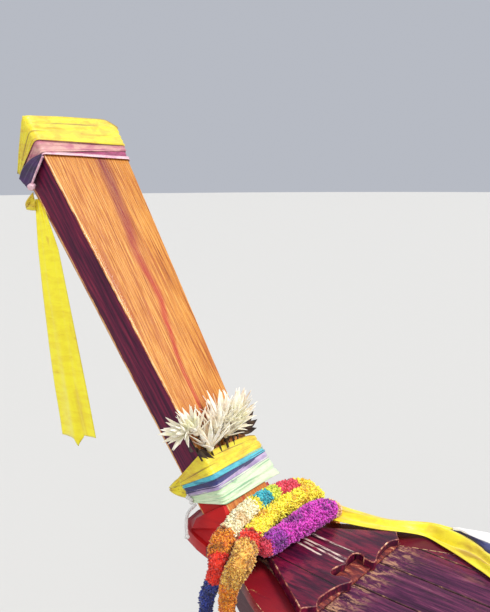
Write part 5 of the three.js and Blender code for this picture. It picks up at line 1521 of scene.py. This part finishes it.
ring_bolts = bolts(circle_of(0.0128, 0.129, CRANK_HIGH, ring_angles), AFTWARD, 0.007, 0.006)
on_engine(merged([cover_bolts, ring_bolts]), "engine_bolts", "steel", steel)


# Cylinder head with its rocker cover, four knurled caps, and the rigid fuel
# pipe along the top with a branch down to each cylinder.
HEAD_LOW = 0.3004
CYLINDERS = (0.19, 0.30, 0.41, 0.52)
dressed("cylinder_head", "cylinder_head_casting", "engine_paint", green, green_edge, ease=0.004,
        body="engine")
head_bolts = bolts([(x, side * 0.105, HEAD_LOW + 0.0602) for x in (0.12, 0.22, 0.32, 0.42, 0.52, 0.60)
                    for side in (-1, 1)], UPWARD, 0.008, 0.009)
cover_ribs = [block((x - 0.004, x + 0.004), (-0.074, 0.074), (HEAD_LOW + 0.118, HEAD_LOW + 0.126), 0.002)
              for x in (0.145, 0.245, 0.355, 0.465, 0.565)]
knobs = [rib for x in CYLINDERS for rib in
         spun([k * math.pi / 6 for k in range(12)],
              lambda: block((-0.0025, 0.0025), (0.0245, 0.0285), (0, 0.034), 0.001, 1),
              (x, 0, HEAD_LOW + 0.112))]
on_engine(merged([*cover_ribs, *knobs]), "rocker_cover_ribs", "engine_paint", green_edge)
pipe_run = [(x, 0.045, HEAD_LOW + 0.146) for x in (0.16, 0.25, 0.35, 0.45, 0.55)]
fuel_pipes = [tube(through(pipe_run, 20), 0.004, sides=3)]
for x in CYLINDERS:
    drop = [(x + dx, y, HEAD_LOW + dz) for dx, y, dz in
            ((0, 0.045, 0.146), (0.004, 0.066, 0.144), (0.004, 0.088, 0.12), (0.004, 0.094, 0.06))]
    fuel_pipes.append(tube(through(drop, 16), 0.003, sides=3))
    fuel_pipes.append(turned((x + 0.004, 0.094, HEAD_LOW + 0.058), UPWARD,
                             [(0, 0.008), (0.016, 0.008), (0.018, 0.005)], sides=4))
on_engine(merged([head_bolts, *fuel_pipes]), "fuel_pipes", "steel", steel)


# Pulleys: grooved steel wheels on the crank and the water pump, with a black
# rubber belt round both.
PULLEY_FACE = 0.6504
PUMP_HIGH = CRANK_HIGH + 0.19
pulleys = [turned((PULLEY_FACE, 0, CRANK_HIGH), FOREWARD,
                  [(0, 0.034), (0.0198, 0.034), (0.0202, 0.105), (0.027, 0.105), (0.033, 0.092),
                   (0.042, 0.092), (0.048, 0.105), (0.0548, 0.105), (0.0552, 0.088), (0.050, 0.060),
                   (0.0504, 0.034), (0.070, 0.034), (0.0704, 0.020), (0.078, 0.018)], sides=26),
           turned((PULLEY_FACE, 0, PUMP_HIGH), FOREWARD,
                  [(0, 0.026), (0.0218, 0.026), (0.0222, 0.062), (0.028, 0.062), (0.033, 0.050),
                   (0.042, 0.050), (0.047, 0.062), (0.0518, 0.062), (0.0522, 0.026),
                   (0.060, 0.026)], sides=20)]
pulley_bolts = bolts(circle_of(PULLEY_FACE + 0.0602, 0.017, PUMP_HIGH, (0.4, 2.5, 4.6)), FOREWARD,
                     0.004, 0.004)
on_engine(merged([*pulleys, pulley_bolts]), "belt_pulley_wheels", "steel", steel, replaces=["belt_pulleys"])
BELT_LOW, BELT_HIGH = 0.098, 0.056
slant = math.acos((BELT_LOW - BELT_HIGH) / (PUMP_HIGH - CRANK_HIGH))
belt = []
for radius, high, first, last, count in ((BELT_LOW, CRANK_HIGH, slant, 2 * math.pi - slant, 40),
                                         (BELT_HIGH, PUMP_HIGH, -slant, slant, 24)):
    for k in range(count + 1):
        a = first + (last - first) * k / count
        belt.append((PULLEY_FACE + 0.0375, radius * math.sin(a), high + radius * math.cos(a)))
rubber = Finish("black rubber", 0.8, shine=0.3)
rubber_tone = rubber.noise(rubber.place(), 50, 6, 0.7)
rubber.colour(rubber.mix(rubber.fade(rubber_tone, 0.4, 0.65), "#141414", "#343230"))
rubber.relief(rubber_tone, 0.0006)
on_engine(tube(belt, 0.006, closed=True, sides=2), "drive_belt", "rubber", rubber)


# Exhaust: a cast manifold on the starboard side, a bent pipe up to an upright
# silencer and a short outlet under a hinged flap, all rusty.
exhaust_rust = rusty("rusty exhaust", "#4a403a", "#2c2522", "#8f4b26", 0.44, rough=0.7, metal=0.3)
PORTS_Y = -0.1254
STACK_X, STACK_Y = -0.06, PORTS_Y - 0.07
manifold = block((0.15, 0.58), (PORTS_Y - 0.05, PORTS_Y - 0.012), (0.318, 0.352), 0.012, 4)
branches = [block((x - 0.022, x + 0.022), (PORTS_Y - 0.03, PORTS_Y - 0.001), (0.316, 0.354), 0.005)
            for x in (0.19, 0.30, 0.41, 0.54)]
exhaust_pipe = [(x, PORTS_Y - out, z) for x, out, z in
                ((0.19, 0.031, 0.336), (0.12, 0.040, 0.338), (0.06, 0.058, 0.352), (0.0, 0.066, 0.385),
                 (-0.045, 0.070, 0.44), (-0.060, 0.070, 0.52), (-0.060, 0.070, 0.605))]
silencer = turned((STACK_X, STACK_Y, 0.598), UPWARD,
                  [(0, 0.027), (0.004, 0.032), (0.014, 0.046), (0.020, 0.048), (0.026, 0.050),
                   (0.032, 0.048), (0.190, 0.048), (0.196, 0.050), (0.202, 0.048), (0.208, 0.046),
                   (0.218, 0.032), (0.222, 0.021)],
                  sides=18)
outlet = tube([(x, STACK_Y, z) for x, z in ((STACK_X, 0.81), (-0.067, 0.85), (-0.0735, 0.885))], 0.02,
              sides=8)
flap = turned((-0.078, STACK_Y, 0.887), (-0.5, 0, 0.87), [(0, 0.022), (0.003, 0.022)], sides=10)
flange = turned((STACK_X, STACK_Y, 0.575), UPWARD, [(0, 0.034), (0.010, 0.034)], sides=10)
on_engine(merged([manifold, *branches, tube(through(exhaust_pipe, 40), 0.026, sides=8), silencer, outlet,
                  flap, flange]), "exhaust_rusted", "iron", exhaust_rust, replaces=["exhaust"])
stud_spots = [(x + dx, PORTS_Y - 0.0305, 0.336 + dz) for x in (0.30, 0.41, 0.54)
              for dx, dz in ((-0.013, 0.012), (0.013, -0.012))]
on_engine(bolts(stud_spots, (0, -1, 0), 0.005, 0.022), "exhaust_studs", "steel", steel)


# Air cleaner: a black pressed canister on an elbow from the port side's inlet,
# its lid held by a wing nut and three clips.
CLEANER_X, CLEANER_Y = 0.36, 0.2004
inlet = block((0.17, 0.56), (0.1258, 0.170), (0.316, 0.350), 0.010, 3)
elbow = tube(through([(CLEANER_X, y, z) for y, z in
                      ((0.156, 0.335), (0.172, 0.37), (0.190, 0.40), (0.2, 0.44))], 18), 0.028, sides=8)
canister = turned((CLEANER_X, CLEANER_Y, 0.43), UPWARD,
                  [(0, 0.055), (0.004, 0.080), (0.010, 0.087), (0.016, 0.088), (0.060, 0.088),
                   (0.0604, 0.085), (0.066, 0.085), (0.0664, 0.088), (0.098, 0.088), (0.106, 0.083),
                   (0.110, 0.070), (0.1104, 0.058), (0.118, 0.054), (0.120, 0.020)], sides=26)
nut = turned((CLEANER_X, CLEANER_Y, 0.549), UPWARD, [(0, 0.008), (0.006, 0.007)])
wings = block((CLEANER_X - 0.014, CLEANER_X + 0.014), (0.198, 0.203), (0.5495, 0.5555), 0.001, 1)
clips = spun([0.6, 2.7, 4.8], lambda: block((0.0865, 0.0905), (-0.008, 0.008), (0.482, 0.520), 0.001, 1),
             (CLEANER_X, CLEANER_Y, 0))
on_engine(merged([inlet, elbow, canister]), "air_cleaner_canister", "plastic", moulded,
          replaces=["air_cleaner"])
on_engine(merged([nut, wings, *clips]), "air_cleaner_clips", "steel", steel)


# Alternator: an aluminium body with vents, a fan and pulley forward, held to
# the block's port side by a bracket.
ALTERNATOR_Y, ALTERNATOR_HIGH = 0.232, 0.19
alternator = turned((0.43, ALTERNATOR_Y, ALTERNATOR_HIGH), FOREWARD,
                    [(0, 0.030), (0.006, 0.048), (0.016, 0.057), (0.030, 0.062), (0.058, 0.062),
                     (0.0584, 0.058), (0.106, 0.058), (0.1064, 0.062), (0.140, 0.062), (0.158, 0.056),
                     (0.166, 0.046), (0.170, 0.020), (0.172, 0.014), (0.176, 0.014), (0.1764, 0.052),
                     (0.179, 0.052), (0.1794, 0.030), (0.186, 0.036), (0.191, 0.036), (0.197, 0.026),
                     (0.203, 0.036), (0.207, 0.036), (0.2074, 0.012), (0.210, 0.010)], sides=20)
bracket = [block((0.48, 0.54), (0.1604, 0.205), (0.128, 0.150), 0.004),
           block((0.485, 0.535), (0.1606, 0.168), (0.120, 0.172), 0.003)]
on_engine(merged([alternator, *bracket]), "alternator_body", "steel", steel, replaces=["alternator"])
vents = [vent for x in (0.445, 0.583) for vent in
         spun([k * math.pi / 7 for k in range(14)],
              lambda: block((-0.008, 0.008), (-0.0035, 0.0035), (0.0525, 0.0585), 0.001, 1),
              (x, ALTERNATOR_Y, ALTERNATOR_HIGH), "X")]
on_engine(merged(vents), "alternator_vents", "rubber", rubber)


# Tiller: a bent steel tube bolted to the frame's end, with a ribbed rubber
# grip; it steers and tilts the engine.
TILLER = [(0.8704, 0, 0), (0.96, 0, -0.01), (1.08, 0, -0.06), (1.2, 0, -0.13), (1.38, 0, -0.193),
          (1.56, 0, -0.26)]
handle = tube(through(TILLER, 48), 0.0195, sides=8)
plate_end = block((0.8606, 0.8844), (-0.06, 0.06), (-0.03, 0.03), 0.004)
tiller_bolts = bolts([(0.8846, y, z) for y in (-0.045, 0.045) for z in (-0.018, 0.018)], FOREWARD,
                     0.007, 0.006)
on_engine(merged([handle, plate_end, tiller_bolts]), "tiller_tube", "steel", steel, replaces=["tiller"])
grip_start, grip_end = Vector((1.45, 0, -0.2195)), Vector((1.592, 0, -0.272))
grip_long = (grip_end - grip_start).length
grip_profile = [(0, 0.021), (0.001, 0.027)]
for far in (0.0085 * k for k in range(16)):
    grip_profile += [(far + 0.006, 0.0262), (far + 0.0085, 0.0235), (far + 0.012, 0.0235)]
grip_profile += [(grip_long - 0.006, 0.0275), (grip_long, 0.024)]
on_engine(turned(grip_start, grip_end - grip_start, grip_profile, sides=10), "tiller_grip", "rubber", rubber)


# Shaft tube: the long steel tube that carries the propeller shaft, bolted to
# the flywheel housing, with clamp bands, a bearing and a fin at its far end.
TUBE_END = -4.08
CLAMPS_AT = (0.9, 1.9, 2.9)
tube_profile = [(0, 0.068), (0.003, 0.070), (0.022, 0.070), (0.025, 0.068), (0.0254, 0.052), (0.036, 0.052),
                (0.0364, 0.068), (0.039, 0.070), (0.056, 0.070), (0.059, 0.068), (0.0594, 0.048),
                (0.085, 0.043), (0.10, 0.038)]
for band in CLAMPS_AT:
    tube_profile += [(band, 0.038), (band + 0.0004, 0.042), (band + 0.03, 0.042), (band + 0.0304, 0.038)]
tube_profile += [(3.968, 0.038), (3.970, 0.044), (3.976, 0.045), (4.092, 0.045), (4.098, 0.043),
                 (4.0996, 0.030)]
shaft = turned((0.0196, 0, CRANK_HIGH), AFTWARD, tube_profile)
FIN = [(-4.06, 0.105), (-3.66, 0.105), (-3.80, 0.01), (-3.93, -0.110), (-3.96, -0.122), (-4.0, -0.125),
       (-4.03, -0.118), (-4.055, -0.095)]
fin_mesh = bpy.data.meshes.new("fin")
fin_points = [Vector((x, side * 0.005, z)) for side in (-1, 1) for x, z in FIN]
count = len(FIN)
rims = [(k, k + count, (k + 1) % count + count, (k + 1) % count) for k in range(count)]
fin_mesh.from_pydata(fin_points, [], [range(count), range(2 * count - 1, count - 1, -1), *rims])
fin = slotted(linked("fin", fin_mesh))
bpy.ops.object.mode_set(mode="EDIT")
bpy.ops.mesh.select_all(action="SELECT")
bpy.ops.mesh.normals_make_consistent(inside=False)
bpy.ops.object.mode_set(mode="OBJECT")
eased(fin, 0.003, 3, angle=50, worn=1)
flange_bolts = bolts(circle_of(-0.02, 0.06, CRANK_HIGH, [math.pi * k / 3 for k in range(6)]), FOREWARD,
                     0.006, 0.006)
bolt_high = (CRANK_HIGH + 0.040, CRANK_HIGH + 0.056)
band_bolts = [block((-band - 0.002, 0.012 - band), (-0.006, 0.006), bolt_high, 0.002)
              for band in CLAMPS_AT]
on_engine(merged([shaft, fin, flange_bolts, *band_bolts]), "shaft_tube_steel", "steel", steel, steel_edge,
          replaces=["shaft_tube"])


# Propeller: three cast bronze blades on a tapered hub, polished at the edges by
# the water, with a lock nut on the shaft's end.
HUB_AT = -4.121
# Rows along a blade: share of its length, half width and pitch in degrees.
BLADE = [(0.0, 0.026, 55), (0.2, 0.044, 47), (0.42, 0.054, 39), (0.65, 0.054, 33), (0.85, 0.042, 28),
         (0.96, 0.024, 25), (1.0, 0.006, 24)]
bronze = Finish("cast bronze", 0.35, metal=0.95)
bronze_tone = bronze.noise(bronze.place(), 16, 7, 0.7)
bronze.colour(bronze.ramp(bronze_tone, (0.35, "#6d4f28"), (0.5, "#a67f45"), (0.68, "#d0aa6a")))
bronze.feed("Roughness", bronze.fade(bronze_tone, 0.35, 0.65, 0.55, 0.3))
bronze.relief(bronze_tone, 0.0006)


def blade_spot(u, v):
    """u runs across the blade and v from its root to its tip."""
    k = next(i for i in range(len(BLADE) - 1) if v <= BLADE[i + 1][0])
    (a, half_a, pitch_a), (b, half_b, pitch_b) = BLADE[k], BLADE[k + 1]
    f = (v - a) / (b - a)
    f = f * f * (3 - 2 * f) * 0.4 + f * 0.6
    half, pitch = half_a + (half_b - half_a) * f, pitch_a + (pitch_b - pitch_a) * f
    out = 2 * u - 1
    at = Vector((out * half, 0.005 * (1 - out * out) - 0.002, 0.022 + 0.128 * v))
    return Matrix.Rotation(math.radians(90 - pitch), 3, "Z") @ at


wheel = [turned((TUBE_END - 0.001, 0, CRANK_HIGH), AFTWARD,
                [(0, 0.017), (0.0396, 0.017), (0.040, 0.031), (0.046, 0.0325), (0.110, 0.0265),
                 (0.115, 0.024), (0.1154, 0.017)]),
         turned((TUBE_END - 0.1162, 0, CRANK_HIGH), AFTWARD,
                [(0, 0.021), (0.008, 0.021), (0.010, 0.012), (0.0138, 0.009)], sides=2)]
for k in range(3):
    blade, _ = woven(blade_spot, 16, 22, thick=0.0045)
    modify(blade, "BEVEL", width=0.001, segments=2, limit_method="ANGLE", angle_limit=math.radians(60))
    bpy.ops.object.shade_smooth_by_angle(angle=math.radians(50))
    turn = Matrix.Rotation(2 * math.pi * k / 3, 4, "X")
    wheel.append(moved(blade, Matrix.Translation((HUB_AT - 0.035, 0, CRANK_HIGH)) @ turn))
on_engine(merged(wheel), "propeller_bronze", "bronze", bronze, replaces=["propeller"], body="propeller")


# Studio: a wide pale floor at the waterline, open where the hull floats in it,
# a pale sky and one soft sun from aft and starboard, with a fill from port.
FLOOR_HALF = 60
FLOOR_STEP = 0.12
PLANK_IN = 0.008
SKY = (0.86, 0.9, 1.0, 1)
SKY_POWER = 0.55
# Suns: name, the way the light goes, strength and width in degrees.
SUNS = [("key", (0.62, 0.30, -0.72), 3.2, 22), ("fill", (0.25, -0.85, -0.45), 1.25, 60)]

outline = {}
for plank in hull_planks:
    for edge in plank.data.edges:
        a, b = (plank.data.vertices[k].co for k in edge.vertices)
        if a.z * b.z < 0:
            at = a.lerp(b, a.z / (a.z - b.z))
            station = round(at.x / FLOOR_STEP)
            if abs(at.y) > outline.get(station, (0, 0))[1]:
                outline[station] = (at.x, abs(at.y))
hull_line = [(x, max(0.004, y - PLANK_IN)) for x, y in sorted(outline.values()) if y > 0.01]
hull_line = [(hull_line[0][0], 0), *hull_line, (hull_line[-1][0], 0)]
rim = [(FLOOR_HALF * math.cos(k * math.pi / 32), FLOOR_HALF * math.sin(k * math.pi / 32)) for k in range(33)]
ring = [*hull_line, *rim]
halves = []
for side in (-1, 1):
    mesh = bpy.data.meshes.new("studio_floor")
    mesh.from_pydata([(x, side * y, 0) for x, y in ring], [], [range(len(ring))[::side]])
    halves.append(linked("studio_floor", mesh))
floor = merged(halves)
floor.name = "studio_floor"
pale = Finish("studio floor", 0.85)
pale.colour("#c9c7c2")
floor.data.materials.append(pale.made)
world = bpy.data.worlds.new("studio")
bpy.context.scene.world = world
world.use_nodes = True
world.node_tree.nodes["Background"].inputs[0].default_value = SKY
world.node_tree.nodes["Background"].inputs[1].default_value = SKY_POWER
for name, toward, power, soft in SUNS:
    bpy.ops.object.light_add(type="SUN", location=-6 * Vector(toward))
    lamp = bpy.context.object
    lamp.name = "studio_" + name
    lamp.rotation_euler = Vector(toward).to_track_quat("-Z", "Y").to_euler()
    lamp.data.energy = power
    lamp.data.angle = math.radians(soft)
bpy.context.scene.view_settings.view_transform = "Standard"
